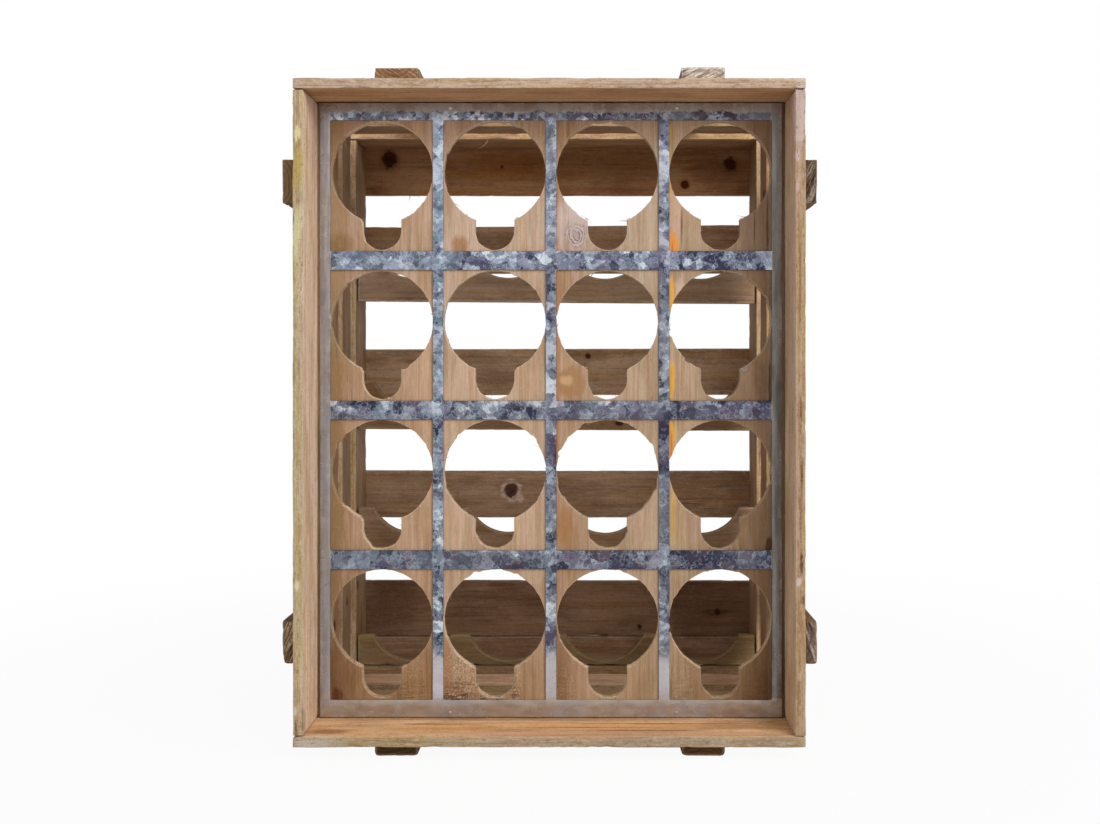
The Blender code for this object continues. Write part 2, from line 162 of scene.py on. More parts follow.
def sawn_board(node, along, across, look, tone, wear, edge_tone=None, end_tone=None,
               cuts=(0.0, 0.0, 0.0), radius=BOARD_EDGE_RADIUS, knots=(), stations=None,
               upper=None, lower=None, pith=0.05, step=0.004):
    """A sawn board in a node's box. A rounded rectangle is carried along the board's length and
    drawn in to a line at both ends. Its surface is worn inwards: noise * depth, more at the edges.
    stations are its places along the length, and upper and lower give its edges' heights there.
    cuts are the angle of the saw's marks on its ends, and how pale and how dark they are."""
    seed = zlib.crc32(node.encode()) % 100000
    random = np.random.default_rng(seed)
    low, high = corners(node)
    through = 3 - along - across
    half = (high - low) / 2
    middle = (high + low) / 2
    if stations is None:
        stations = np.linspace(-1, 1, int(np.ceil(2 * half[along] / step)) + 1) * half[along] + middle[along]
    clear = 1.6 * radius
    inner_stations = stations[(stations > low[along] + clear) & (stations < high[along] - clear)]

    # Rings along the length: the drawn-in end, the rounded end edge, the body, and the same again
    thin = half[through]
    bend = np.radians([90, 60, 30, 0])
    end_inset = np.concatenate([np.linspace(thin, radius, 5)[:-1], radius * (1 - np.cos(bend))])
    end_place = np.concatenate([np.zeros(4), radius * (1 - np.sin(bend))])
    end_turn = np.concatenate([np.full(4, np.pi / 2), bend])
    inset = np.concatenate([end_inset, np.zeros(len(inner_stations)), end_inset[::-1]])
    place = np.concatenate([low[along] + end_place, inner_stations, high[along] - end_place[::-1]])
    turn = np.concatenate([-end_turn, np.zeros(len(inner_stations)), end_turn[::-1]])

    top = upper(place) if upper else np.full_like(place, high[across])
    bottom = lower(place) if lower else np.full_like(place, low[across])
    wide = (top - bottom) / 2
    centre = (top + bottom) / 2
    outline_place, outline_turn = board_outline(max(12, int(half[across] * 2 / 0.0028)))
    corner = np.maximum(radius - inset, 0.0)[:, None]
    wide_reach = (wide - inset)[:, None] - corner
    thin_reach = (thin - inset)[:, None] - corner
    rows, columns = len(place), len(outline_place)
    points = np.zeros((rows, columns, 3))
    points[..., along] = place[:, None]
    points[..., across] = centre[:, None] + outline_place[:, 0] * wide_reach + outline_turn[:, 0] * corner
    points[..., through] = middle[through] + outline_place[:, 1] * thin_reach + outline_turn[:, 1] * corner
    outward = np.zeros_like(points)
    outward[..., along] = np.sin(turn)[:, None]
    outward[..., across] = np.cos(turn)[:, None] * outline_turn[:, 0]
    outward[..., through] = np.cos(turn)[:, None] * outline_turn[:, 1]

    # How near each point is to a long edge or an end edge, on the narrow faces and on the ends
    to_side = (1 - np.abs(outline_place[:, 0])) * half[across]
    to_face = (1 - np.abs(outline_place[:, 1])) * thin
    to_end = np.minimum(place - low[along], high[along] - place)[:, None]
    on_end = (np.abs(turn) > 1.2)[:, None] * np.ones(columns)
    edge = np.exp(-np.maximum(to_side, to_face) / 0.0022)[None, :] * np.ones((rows, 1))
    edge = np.where(on_end > 0, np.exp(-inset / 0.002)[:, None], np.maximum(edge, np.exp(-to_end / 0.002)))
    narrow = (np.abs(outline_turn[:, 0]) > 0.5)[None, :] * (1 - on_end)

    # Rough and wavy all over, and along the edges rubbed down, nicked and dented
    flat = points.reshape(-1, 3)
    edge = edge.reshape(-1)
    depth = 0.00008 * (1 + lattice_noise(flat, 0.003, seed))
    depth += 0.00012 * (1 + lattice_noise(flat, 0.09, seed + 1))
    depth += wear * edge * 0.00022 * (1 + lattice_noise(flat, 0.022, seed + 2))
    depth += wear * edge * 0.0020 * np.maximum(lattice_noise(flat, 0.006, seed + 3) - 0.35, 0.0)
    depth += wear * edge * 0.0022 * np.maximum(lattice_noise(flat, 0.028, seed + 4) - 0.45, 0.0)
    worn = flat - outward.reshape(-1, 3) * depth[:, None]

    grain = np.column_stack([
        flat[:, along] + random.uniform(0, 9),
        flat[:, across] - middle[across] + random.uniform(-0.3, 0.3) * half[across],
        flat[:, through] - middle[through] + pith * random.uniform(0.7, 1.4) * random.choice([-1, 1]),
    ])
    marks = {
        "grain": grain,
        "knot": nearest_knot(flat[:, along], flat[:, across], knots),
        "finish": np.column_stack([edge, narrow.reshape(-1), on_end.reshape(-1)]),
        "tone": np.select([on_end.reshape(-1, 1) > 0, narrow.reshape(-1, 1) > 0],
                          [end_tone or tone, edge_tone or tone], tone).astype(float),
        "cuts": np.tile(np.array(cuts, dtype=float), (len(flat), 1)),
    }
    piece = close_piece("dressed_" + node, worn, grid_faces(rows, columns), marks, look)
    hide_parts(node)


class Wire:
    """One socket of a shader. Sums, products and powers of wires add the Math nodes that work
    them out, so that a pattern is written as a formula."""

    def __init__(self, socket):
        self.socket = socket

    def add(self, kind, settings, values, out=0):
        """A node of the given kind: its settings first, then its sockets' values or links."""
        tree = self.socket.id_data
        node = tree.nodes.new(kind)
        for name, value in settings.items():
            setattr(node, name, value)
        for name, value in values.items():
            if isinstance(value, Wire):
                tree.links.new(value.socket, node.inputs[name])
            else:
                node.inputs[name].default_value = value
        return Wire(node.outputs[out])

    def math(self, operation, first, second=0.0):
        return self.add("ShaderNodeMath", {"operation": operation}, {0: first, 1: second})

    def __add__(self, other):
        return self.math("ADD", self, other)

    def __radd__(self, other):
        return self.math("ADD", other, self)

    def __sub__(self, other):
        return self.math("SUBTRACT", self, other)

    def __rsub__(self, other):
        return self.math("SUBTRACT", other, self)

    def __mul__(self, other):
        return self.math("MULTIPLY", self, other)

    def __rmul__(self, other):
        return self.math("MULTIPLY", other, self)

    def __truediv__(self, other):
        return self.math("DIVIDE", self, other)

    def __pow__(self, other):
        return self.math("POWER", self, other)


def paint(red, green, blue):
    """A colour as a screen shows it, 0 to 255 each, turned into the light that it stands for."""
    shown = np.array([red, green, blue]) / 255.0
    light = np.where(shown <= 0.04045, shown / 12.92, ((shown + 0.055) / 1.055) ** 2.4)
    return (*(float(part) for part in light), 1.0)


def new_finish(name):
    """A new material, its Principled shader, and the wire of its object coordinates."""
    made = bpy.data.materials.new(name)
    made.use_nodes = True
    shader = made.node_tree.nodes["Principled BSDF"]
    place = made.node_tree.nodes.new("ShaderNodeTexCoord").outputs["Object"]
    return made, shader, Wire(place)


def feed(node, wires):
    """Links the wires to a shader's inputs, by the inputs' names."""
    for name, wire in wires.items():
        node.id_data.links.new(wire.socket, node.inputs[name])


def mark(wire, name):
    """The three numbers that a piece's mesh holds under this name."""
    return wire.add("ShaderNodeAttribute", {"attribute_name": name}, {}, "Vector")


def parts(wire):
    """The three numbers of a vector, as three wires."""
    node = wire.add("ShaderNodeSeparateXYZ", {}, {0: wire}).socket.node
    return [Wire(socket) for socket in node.outputs]


def vector(wire, operation, other, out=0):
    """Vector maths between a vector and another, or three numbers."""
    return wire.add("ShaderNodeVectorMath", {"operation": operation}, {0: wire, 1: other}, out)


def noise(wire, size, detail, rough=0.5, stretch=None):
    """Cloudy noise from 0 to 1, with features of the given size in metres. It is drawn out along an
    axis whose share in stretch is under 1."""
    if stretch:
        wire = vector(wire, "MULTIPLY", stretch)
    return wire.add("ShaderNodeTexNoise", {}, {
        "Vector": wire, "Scale": 1.0 / size, "Detail": detail, "Roughness": rough})


def rise(wire, low, high):
    """0 below low, 1 above high, and a smooth step between them."""
    return wire.add("ShaderNodeMapRange", {"interpolation_type": "SMOOTHSTEP"}, {0: wire, 1: low, 2: high})


def mix(mask, under, over, way="MIX"):
    """One colour laid over another where the mask is 1."""
    settings = {"data_type": "RGBA", "blend_type": way}
    return mask.add("ShaderNodeMix", settings, {0: mask, 6: under, 7: over}, 2)


def drop(wire, low, high):
    """1 below low, 0 above high, and a smooth step between them."""
    return 1 - rise(wire, low, high)


def shaded(colour, factor):
    """A written colour made darker or lighter."""
    return (*(part * factor for part in colour[:3]), 1.0)


def within(place, ragged, middle, radii, soft=0.7):
    """A ragged patch: 1 inside an ellipsoid with this middle and these three radii, fading out at
    its skin."""
    away = vector(vector(place, "SUBTRACT", middle), "DIVIDE", radii)
    reach = vector(away, "LENGTH", (0, 0, 0), "Value") + ragged
    return drop(reach, 1.05 - soft, 1.05)


def fir(name, pale, dark, bleached, end, knot, ring_depth, mottle, grit, ring_pitch=0.0030,
        streaks=0.45, patches=0.4, specks=0.4, flecks=0.5, cracks=0.5, edge_bleach=0.6, rim_pale=0.0,
        cut_ends=False, sawn=0.0, knot_rings=2.7, knot_lines=0.2, knot_length=1.4, roughness=0.82,
        stains=(), torn_spots=()):
    """Sawn fir or pine. Growth rings are circles round the pith: ring = fraction(distance to pith /
    pitch), each darkening slowly outwards and ending sharply. Fibres are noise drawn out along the
    board. A knot draws the rings round itself, and has a ragged heart with rays and a broken rim. A
    stain is its middle, three radii, colour, strength and, if it isn't the usual one, its softness.
    A torn spot is its middle, three radii and strength."""
    made, shader, place = new_finish(name)
    grain = mark(place, "grain")
    _, width, thick = parts(grain)
    along, across, radius = parts(mark(place, "knot"))
    edge, narrow, on_end = parts(mark(place, "finish"))
    tone = mark(place, "tone")

    # The way to the knot in knot radii, and how much it draws the rings apart
    along = along / knot_length
    away = (along * along + across * across) ** 0.5 + 0.00001
    heading = away.add("ShaderNodeCombineXYZ", {}, {0: along / away, 1: across / away})
    ray = noise(heading, 0.28, 3.0)
    to_knot = away / radius + noise(place, 0.006, 3.0) * 1.1 - 0.55
    width = width - across * drop(away / radius, 0.4, 3.0)

    wander = noise(grain, 0.035, 3.0, stretch=(0.10, 1.0, 1.0))
    distance = (width * width + thick * thick) ** 0.5 + wander * 0.014
    turn = (distance / ring_pitch).math("FRACT", distance / ring_pitch)
    late = rise(turn, 0.25, 0.88) * drop(turn, 0.90, 1.0)
    fibre = noise(grain, 0.0010, 4.0, 0.75, stretch=(0.018, 1.0, 1.0))
    vein = noise(grain, 0.0026, 3.0, 0.6, stretch=(0.040, 1.0, 1.0))
    band = noise(grain, 0.006, 3.0, 0.6, stretch=(0.045, 1.0, 1.0))
    tint = noise(grain, 0.011, 4.0, 0.65, stretch=(0.07, 1.0, 1.0))
    cloud = noise(grain, 0.030, 4.0, 0.6, stretch=(0.40, 1.0, 1.0))
    split = noise(grain, 0.0030, 5.0, 0.8, stretch=(0.030, 1.0, 1.0))
    torn = noise(grain, 0.0020, 3.0, 0.65, stretch=(0.30, 1.0, 1.0))
    fine = noise(place, 0.0017, 4.0, 0.7)
    blotch = noise(grain, 0.011, 4.0, 0.7, stretch=(0.5, 1.0, 1.0))

    colour = mix(late * ring_depth * (0.35 + band), pale, dark)
    colour = mix(rise(band, 0.42, 0.72) * streaks, colour, dark)
    colour = mix(rise(fibre, 0.46, 0.66) * streaks, colour, dark)
    colour = mix(rise(vein, 0.46, 0.64) * rise(cloud, 0.42, 0.60) * streaks, colour, dark)
    colour = mix(drop(vein, 0.36, 0.50) * drop(cloud, 0.42, 0.60) * streaks, colour, shaded(pale, 1.15))
    colour = mix(rise(cloud, 0.45, 0.68) * patches, colour, dark)

    # Bleached narrow faces and rubbed edges
    bare = rise(edge + band * 0.9, 0.95, 1.45)
    dry = rise(cloud + fine * 0.3, 0.52, 0.78)
    colour = mix(narrow * edge_bleach * (0.55 + 0.45 * dry), colour, bleached)
    colour = mix(bare * 0.55, colour, bleached)
    colour = mix(narrow * rise(blotch, 0.50, 0.62) * mottle * 0.45, colour, dark)
    colour = mix(narrow * drop(blotch, 0.38, 0.48) * mottle * 0.55, colour, shaded(bleached, 1.25))
    rim_line = rise(edge, 0.22, 0.60) * rise(torn * 0.6 + fine * 0.6, 0.42, 0.62)
    colour = mix(rim_line * rim_pale, colour, shaded(bleached, 1.15))
    colour = mix(narrow * rise(fibre, 0.50, 0.60) * 0.60, colour, dark)
    colour = mix(narrow * drop(fibre, 0.40, 0.50) * 0.60, colour, shaded(bleached, 1.2))

    # Yellow patches on narrow faces, golden ones on wide faces, pinkish ones on both, and stains
    colour = mix(rise(tint, 0.48, 0.62) * narrow * mottle, colour, (0.92, 0.86, 0.60, 1.0), "MULTIPLY")
    colour = mix(rise(tint, 0.48, 0.62) * (1 - narrow) * mottle, colour, (0.96, 0.86, 0.66, 1.0), "MULTIPLY")
    colour = mix(drop(tint, 0.36, 0.48) * mottle, colour, (1.0, 0.86, 0.84, 1.0), "MULTIPLY")
    ragged = noise(grain, 0.0045, 4.0, 0.65, stretch=(0.16, 1.0, 1.0)) * 1.3 - 0.65
    for middle, radii, stain, strength, *soft in stains:
        colour = mix(within(place, ragged, middle, radii, *soft) * strength, colour, stain)

    # Sawdust-like grit, pale torn flecks, dark specks and fine open cracks
    gritty = grit + narrow * 0.12
    colour = mix(rise(fine, 0.50, 0.64) * gritty, colour, dark)
    colour = mix(drop(fine, 0.36, 0.50) * gritty, colour, shaded(bleached, 1.08))
    fleck = rise(torn, 0.56, 0.64) * (0.25 + 0.75 * narrow.math("MAXIMUM", narrow, edge))
    colour = mix(fleck * flecks, colour, shaded(bleached, 1.3))
    colour = mix(drop(torn, 0.33, 0.42) * specks, colour, dark)
    colour = mix(rise(fine, 0.62, 0.72) * specks, colour, shaded(dark, 0.7))
    crack = rise(split, 0.62, 0.68)
    colour = mix(crack * cracks, colour, shaded(dark, 0.45))

    # Where the saw tore the wood, and on rubbed rims: pale crumbs, dark pits and gashes low down
    crumb = noise(place, 0.0015, 4.0, 0.8, stretch=(1.0, 1.0, 0.8))
    patchy = rise(blotch + noise(place, 0.0035, 3.0), 0.80, 1.10)
    roughed = rise(edge + narrow, 0.35, 0.95) * rim_pale * 0.5
    for middle, radii, strength in torn_spots:
        torn_here = within(place, ragged, middle, radii, 0.6) * strength * (0.55 + 0.45 * patchy)
        roughed = roughed.math("MAXIMUM", roughed, torn_here)
    colour = mix(roughed * rise(crumb, 0.51, 0.60) * 0.80, colour, shaded(bleached, 1.08))
    colour = mix(roughed * drop(crumb, 0.38, 0.47) * 0.75, colour, shaded(dark, 0.62))
    if torn_spots:
        gash = noise(place, 0.0017, 3.0, 0.7, stretch=(0.12, 1.0, 1.0))
        low = drop(parts(place)[2] + blotch * 0.02, 0.052, 0.074)
        colour = mix(low * roughed * drop(gash, 0.46, 0.53), colour, shaded(dark, 0.30))

    # Knots: darkened wood round them, a brown heart with rays, a black pith and a broken rim
    heart = drop(to_knot + ray * 0.5 - 0.25, 0.80, 1.05)
    pith = drop(to_knot + ray * 0.6 - 0.30, 0.10, 0.55)
    rim = rise(to_knot, 0.80, 1.0) * drop(to_knot, 1.02, 1.25) * rise(ray, 0.42, 0.58)
    heart_ring = to_knot.math("SINE", to_knot * (knot_rings * 6.283) + ray * 3.0)
    colour = mix(drop(to_knot, 0.8, 2.2) * 0.30, colour, dark)
    colour = mix(heart * 0.92, colour, knot)
    line = rise(heart_ring + fine * 1.6 - 0.8, 0.2, 0.7) * (0.35 + 0.65 * rise(blotch, 0.42, 0.58))
    colour = mix(heart * line * knot_lines, colour, shaded(knot, 0.30))
    colour = mix(pith * 0.5, colour, shaded(knot, 0.45))
    colour = mix(rim * 0.35, colour, shaded(knot, 0.5))

    # End grain drinks dirt: dark between the paler rings
    grime = late * 0.5 + fine * 0.4 + cloud * 0.6 + fibre * 0.2
    colour = mix(on_end, colour, mix(rise(grime, 0.45, 1.15), shaded(end, 0.62), end))
    if cut_ends:
        angle, pale_cut, dark_cut = parts(mark(place, "cuts"))
        spin = {"Vector": place, "Angle": angle}
        turned = place.add("ShaderNodeVectorRotate", {"rotation_type": "Y_AXIS"}, spin)
        cut = noise(turned, 0.0019, 3.0, 0.75, stretch=(0.07, 0.5, 1.0))
        broken = rise(fine, 0.36, 0.52)
        colour = mix(on_end * drop(cut, 0.36, 0.46) * dark_cut, colour, shaded(end, 0.22))
        colour = mix(on_end * rise(cut, 0.53, 0.60) * broken * pale_cut, colour, shaded(bleached, 1.5))
        colour = mix(on_end * rise(edge + fine * 0.6, 0.76, 0.98) * 0.55, colour, shaded(bleached, 1.3))
    colour = vector(colour, "MULTIPLY", tone)

    saw_mark = noise(grain, 0.0018, 1.0, stretch=(1.0, 0.04, 0.04)) - 0.5
    height = late * -0.25 + fibre * 0.7 + fine * (0.35 + gritty) + torn * 0.5 - rim * 0.8 - crack * 0.9
    height = height + saw_mark * sawn + crumb * (roughed * 2.0)
    relief = height.add("ShaderNodeBump", {}, {"Strength": 0.6, "Distance": 0.00045, "Height": height})
    rough = roughness + (fibre - 0.5) * 0.25 - late * 0.08
    feed(shader, {"Base Color": colour, "Roughness": rough, "Normal": relief})
    shader.inputs["Specular IOR Level"].default_value = 0.25
    return made


def on_face(level, depth, spots):
    """Spots given by their place and radii across and up on an upright face, as ellipsoids with
    this level and depth."""
    return [((x, level, z), (wide, depth, high), *rest) for (x, z), (wide, high), *rest in spots]


KNOT_BROWN = paint(86, 50, 30)

# The front edges' stains, chips and knots come first, then those of the faces inside the crate
crate_wood = fir(
    "crate_wood", pale=paint(220, 188, 154), dark=paint(160, 122, 86), bleached=paint(194, 174, 144),
    end=paint(150, 124, 98), knot=KNOT_BROWN, ring_depth=0.30, streaks=0.40, patches=0.45,
    mottle=0.9, specks=0.8, flecks=0.55, grit=0.25, rim_pale=0.5,
    stains=on_face(-0.152, 0.012, [
        ((-0.2115, 0.498), (0.0070, 0.026), paint(192, 160, 78), 0.85),
        ((-0.2105, 0.526), (0.0040, 0.008), paint(244, 226, 178), 0.95),
        ((-0.2125, 0.443), (0.0062, 0.030), paint(224, 212, 166), 0.90),
        ((-0.2148, 0.455), (0.0022, 0.010), paint(92, 72, 46), 0.95),
        ((-0.2100, 0.375), (0.0022, 0.003), paint(232, 204, 184), 0.80),
        ((-0.2110, 0.280), (0.0050, 0.060), paint(186, 160, 96), 0.40),
        ((-0.2110, 0.148), (0.0026, 0.005), paint(240, 228, 196), 0.85),
        ((-0.2110, 0.100), (0.0050, 0.030), paint(178, 152, 92), 0.45),
        ((-0.2130, 0.043), (0.0026, 0.005), paint(232, 216, 198), 0.80),
        ((-0.2118, 0.029), (0.0014, 0.010), paint(58, 44, 32), 0.85),
        ((-0.2065, 0.034), (0.0008, 0.020), paint(84, 60, 40), 0.80),
        ((-0.2000, 0.016), (0.0180, 0.004), paint(226, 212, 190), 0.65),
        ((-0.190, 0.017), (0.030, 0.010), paint(222, 206, 184), 0.50),
        ((0.185, 0.017), (0.030, 0.010), paint(164, 136, 110), 0.60),
        ((0.10, 0.017), (0.07, 0.008), paint(168, 152, 124), 0.5),
        ((-0.2130, 0.575), (0.0034, 0.007), paint(166, 156, 146), 0.60),
        ((0.170, 0.575), (0.0034, 0.0022), paint(246, 232, 206), 0.80),
        ((0.186, 0.5735), (0.0044, 0.0022), paint(246, 232, 206), 0.80),
        ((0.198, 0.5745), (0.0034, 0.0030), paint(246, 228, 206), 0.80),
        ((0.2160, 0.571), (0.0026, 0.013), paint(240, 228, 232), 0.75),
        ((0.2100, 0.545), (0.0085, 0.040), paint(228, 212, 210), 0.75),
        ((0.2100, 0.523), (0.0060, 0.004), paint(232, 218, 208), 0.75),
        ((0.2075, 0.508), (0.0024, 0.006), paint(240, 218, 218), 0.80),
        ((0.2075, 0.482), (0.0024, 0.006), paint(236, 208, 204), 0.75),
        ((0.2064, 0.330), (0.0015, 0.280), paint(222, 190, 162), 0.55),
        ((0.2138, 0.390), (0.0019, 0.090), paint(186, 150, 82), 0.60),
        ((0.2138, 0.110), (0.0019, 0.060), paint(186, 150, 88), 0.50),
        ((0.2098, 0.400), (0.0016, 0.050), paint(142, 92, 58), 0.60),
        ((0.2100, 0.205), (0.0014, 0.030), paint(142, 92, 58), 0.60),
        ((0.2112, 0.238), (0.0018, 0.022), paint(104, 48, 18), 0.95),
        ((0.2105, 0.290), (0.0014, 0.026), paint(116, 68, 38), 0.80),
        ((0.2110, 0.168), (0.0020, 0.014), paint(88, 42, 22), 0.95),
        ((0.2092, 0.151), (0.0028, 0.005), paint(246, 232, 220), 0.90),
        ((0.2125, 0.136), (0.0022, 0.006), paint(106, 54, 26), 0.85),
        ((0.2095, 0.072), (0.0024, 0.005), paint(232, 200, 186), 0.75),
    ]) + [
        ((0.050, -0.148, 0.563), (0.0070, 0.0016, 0.005), paint(104, 54, 36), 0.75),
        ((0.05, -0.122, 0.022), (0.16, 0.007, 0.006), paint(214, 150, 74), 0.55),
        ((-0.09, -0.130, 0.022), (0.07, 0.006, 0.006), paint(206, 146, 72), 0.60),
        ((-0.04, -0.144, 0.022), (0.12, 0.007, 0.006), paint(208, 164, 136), 0.85),
        ((0.14, -0.144, 0.022), (0.07, 0.007, 0.006), paint(200, 160, 132), 0.85),
        ((-0.187, -0.140, 0.022), (0.024, 0.010, 0.006), paint(132, 82, 50), 0.70),
        ((-0.10, -0.118, 0.022), (0.05, 0.0025, 0.006), paint(140, 78, 36), 0.85),
        ((0.08, -0.136, 0.022), (0.07, 0.0025, 0.006), paint(140, 78, 38), 0.85),
        ((0.02, -0.128, 0.022), (0.09, 0.0020, 0.006), paint(150, 84, 40), 0.80),
        ((0.10, -0.116, 0.022), (0.09, 0.0022, 0.006), paint(136, 80, 42), 0.80),
        ((0.15, -0.125, 0.022), (0.04, 0.012, 0.006), paint(150, 116, 88), 0.45),
        ((0.0, -0.104, 0.022), (0.25, 0.004, 0.006), paint(112, 74, 48), 0.55),
        ((-0.170, 0.016, 0.017), (0.035, 0.010, 0.012), paint(134, 106, 72), 0.65),
        ((0.045, 0.016, 0.017), (0.030, 0.010, 0.012), paint(206, 176, 142), 0.50),
    ])

# Each board's own tone on its faces and on its narrow edges, as factors of red, green and blue.
# They hold painted light and shade: faces turned to the lamp are paler, faces turned away darker,
# and edges lit through the gaps brighter
BOARD_PAINTED_LIGHT_TONES = {
    "front_ring_top": ((0.93, 0.80, 0.69), (0.97, 0.97, 1.12)),
    "front_ring_bottom": ((1.34, 1.26, 1.15), (0.83, 0.85, 0.90)),
    "front_ring_left": ((1.28, 1.42, 1.68), (0.96, 1.01, 1.00)),
    "front_ring_right": ((1.16, 1.26, 1.45), (0.80, 0.75, 0.75)),
    "second_ring_top": ((0.67, 0.64, 0.61), (1.52, 1.41, 1.25)),
    "second_ring_bottom": ((0.92, 0.92, 0.80), (1.00, 0.98, 0.90)),
    "second_ring_left": ((0.81, 0.75, 0.70), (1.59, 1.45, 1.27)),
    "third_ring_bottom": ((1.40, 1.42, 1.55), (0.98, 0.96, 0.95)),
    "rear_ring_bottom": ((0.67, 0.65, 0.63), (0.79, 0.68, 0.61)),
}

# The other boards hardly show, and take random tones
for ring in RINGS:
    for side in ("top", "bottom", "left", "right"):
        node = f"{ring}_ring_{side}"
        run = 0 if side in ("top", "bottom") else 2
        board_random = np.random.default_rng(zlib.crc32(node.encode()))
        board_low, board_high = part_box(node)
        dim, light = board_random.uniform((0.64, 1.05), (0.86, 1.35))
        warmth = board_random.uniform(0.0, 0.16)
        tints = np.array((1, 1 - warmth * 0.5, 1 - warmth))
        tone, edge_tone = BOARD_PAINTED_LIGHT_TONES.get(node, (tuple(dim * tints), tuple(light * tints)))
        knots = [(board_random.uniform(board_low[run] + 0.05, board_high[run] - 0.05),
                  board_random.uniform(board_low[1] + 0.008, board_high[1] - 0.008),
                  board_random.uniform(0.003, 0.006)) for _ in range(board_random.integers(1, 3))]
        if ring == "front":
            knots = [(place, board_high[1] - 0.012, radius) for place, _, radius in knots[:1]]
        sawn_board(node, run, 1, crate_wood, tone, wear=1.3, edge_tone=edge_tone, knots=knots)


# Battens
# Eight sawn fir battens, two on each side, run front to back and tie the rings together. They are
# nailed on from outside. Their front ends are dark sawn end grain, on some darkened further with
# painted shade, and some have corners worn round.

BATTEN_TONE = (0.66, 0.60, 0.54)
BATTEN_EDGE_RADIUS = 0.0010
BATTEN_WORN_ROUND = {"batten_bottom_left": 0.0032, "batten_bottom_right": 0.0034,
                     "batten_left_lower": 0.0022, "batten_right_lower": 0.0024,
                     "batten_right_upper": 0.0008}

# Each batten's tone at its ends, then the angle of the saw's cuts there, and how pale and dark
# they are. The darkest end tones, at the bottom and upper right, are partly painted shade
BATTEN_ENDS = {
    "batten_top_left": ((1.0, 0.85, 0.72), (-0.60, 0.5, 0.6)),
    "batten_top_right": ((1.74, 2.2, 3.0), (0.45, 0.5, 1.0)),
    "batten_bottom_left": ((0.26, 0.21, 0.11), (0.30, 0.1, 0.3)),
    "batten_bottom_right": ((0.38, 0.29, 0.17), (0.30, 0.1, 0.3)),
    "batten_left_upper": ((0.84, 0.76, 0.66), (1.20, 0.0, 0.2)),
    "batten_left_lower": ((0.71, 0.67, 0.60), (1.15, 1.0, 0.9)),
    "batten_right_upper": ((0.36, 0.36, 0.39), (1.15, 1.0, 0.9)),
    "batten_right_lower": ((0.54, 0.56, 0.66), (-1.20, 1.0, 0.9)),
}
batten_wood = fir(
    "batten_wood", pale=paint(190, 158, 122), dark=paint(132, 98, 66), bleached=paint(196, 180, 156),
    end=paint(158, 128, 100), knot=KNOT_BROWN, ring_depth=0.35, ring_pitch=0.0038, mottle=0.6, grit=0.5,
    cut_ends=True, sawn=0.9, roughness=0.88)
for node, (end_tone, cuts) in BATTEN_ENDS.items():
    on_side = node.startswith(("batten_left", "batten_right"))
    # The side battens' narrow faces, their tops and undersides, are made dark: painted shade of the
    # undersides
    edge_tone = (0.34, 0.26, 0.20) if on_side else (0.58, 0.52, 0.50)
    sawn_board(node, 1, 2 if on_side else 0, batten_wood, BATTEN_TONE, wear=1.6,
               edge_tone=edge_tone, end_tone=end_tone, cuts=cuts, pith=0.018, step=0.003,
               radius=BATTEN_WORN_ROUND.get(node, BATTEN_EDGE_RADIUS))


# Keyhole planks
# Four upright pine planks behind the sheet, each with four round holes for the bottles' bodies and
# a notch under each for the neck. The holes are sawn out, and their rims are chipped and furry.

PLANK_FRONT, PLANK_BACK = (corner[1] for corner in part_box("keyhole_plank_1"))
HOLE_RADIUS = 0.0445
NOTCH_RADIUS = 0.0170
NOTCH_DROP = 0.0510
NOTCH_CORNER_DROP = np.sqrt(HOLE_RADIUS ** 2 - NOTCH_RADIUS ** 2)
CELL_BELOW = 0.0775         # from a hole's middle down to its cell's lower edge
PLANK_SOFT = 0.0004         # how far the planks' sharp edges are drawn in
openings = {opening["name"]: opening["box_m"] for opening in frame["record"]["physics"]["openings"]}


def hole_centre(row, column):
    """The middle of a bottle's hole, across and up, from the opening that the frame states."""
    low, high = openings[f"hole_row_{row}_column_{column}"]
    return np.array([(low[0] + high[0]) / 2, (low[2] + high[2]) / 2])


def keyhole_reach(direction):
    """How far the keyhole reaches from the hole's centre in each direction: the circle's radius,
    or under it the notch's straight wall, width / sine, and then the notch's round end."""
    sideways = np.abs(direction[:, 0])
    down = -direction[:, 1]
    shoulder = NOTCH_RADIUS / HOLE_RADIUS
    wall = NOTCH_RADIUS / np.maximum(sideways, 1e-6)
    lower = np.sqrt(np.maximum(NOTCH_RADIUS ** 2 - (NOTCH_DROP * sideways) ** 2, 0.0)) + NOTCH_DROP * down
    straight = sideways * NOTCH_DROP > NOTCH_RADIUS * down
    notch = np.where(straight, wall, lower)
    return np.where((down > 0) & (sideways < shoulder), notch, HOLE_RADIUS)


def side_places(low, high, step, extra=()):
    """Even places from low to high, and some more that must be met exactly. Even places nearer to
    those than 0.35 steps are left out."""
    even = np.linspace(low, high, int(np.ceil((high - low) / step)) + 1)
    extra = np.array(extra, dtype=float)
    apart = np.all(np.abs(even[:, None] - extra[None, :]) > step * 0.35, axis=1)
    apart[[0, -1]] = True
    return np.sort(np.concatenate([even[apart], extra]))


def rectangle(low, high, lower_x, upper_x, rise_z):
    """The points of a rectangle from its lower left corner round, at these places on its sides."""
    return np.concatenate([
        np.column_stack([lower_x[:-1], np.full(len(lower_x) - 1, low[1])]),
        np.column_stack([np.full(len(rise_z) - 1, high[0]), rise_z[:-1]]),
        np.column_stack([upper_x[:0:-1], np.full(len(upper_x) - 1, high[1])]),
        np.column_stack([np.full(len(rise_z) - 1, low[0]), rise_z[:0:-1]])])


def cell_outline(low, high, lower_x, upper_x, step):
    """A cell's outline, and for each of its points the number of the side that it lies on."""
    rise_z = side_places(low[1], high[1], step)
    side = np.repeat([0, 1, 2, 3], [len(places) - 1 for places in (lower_x, rise_z, upper_x, rise_z)])
    return rectangle(low, high, lower_x, upper_x, rise_z), side


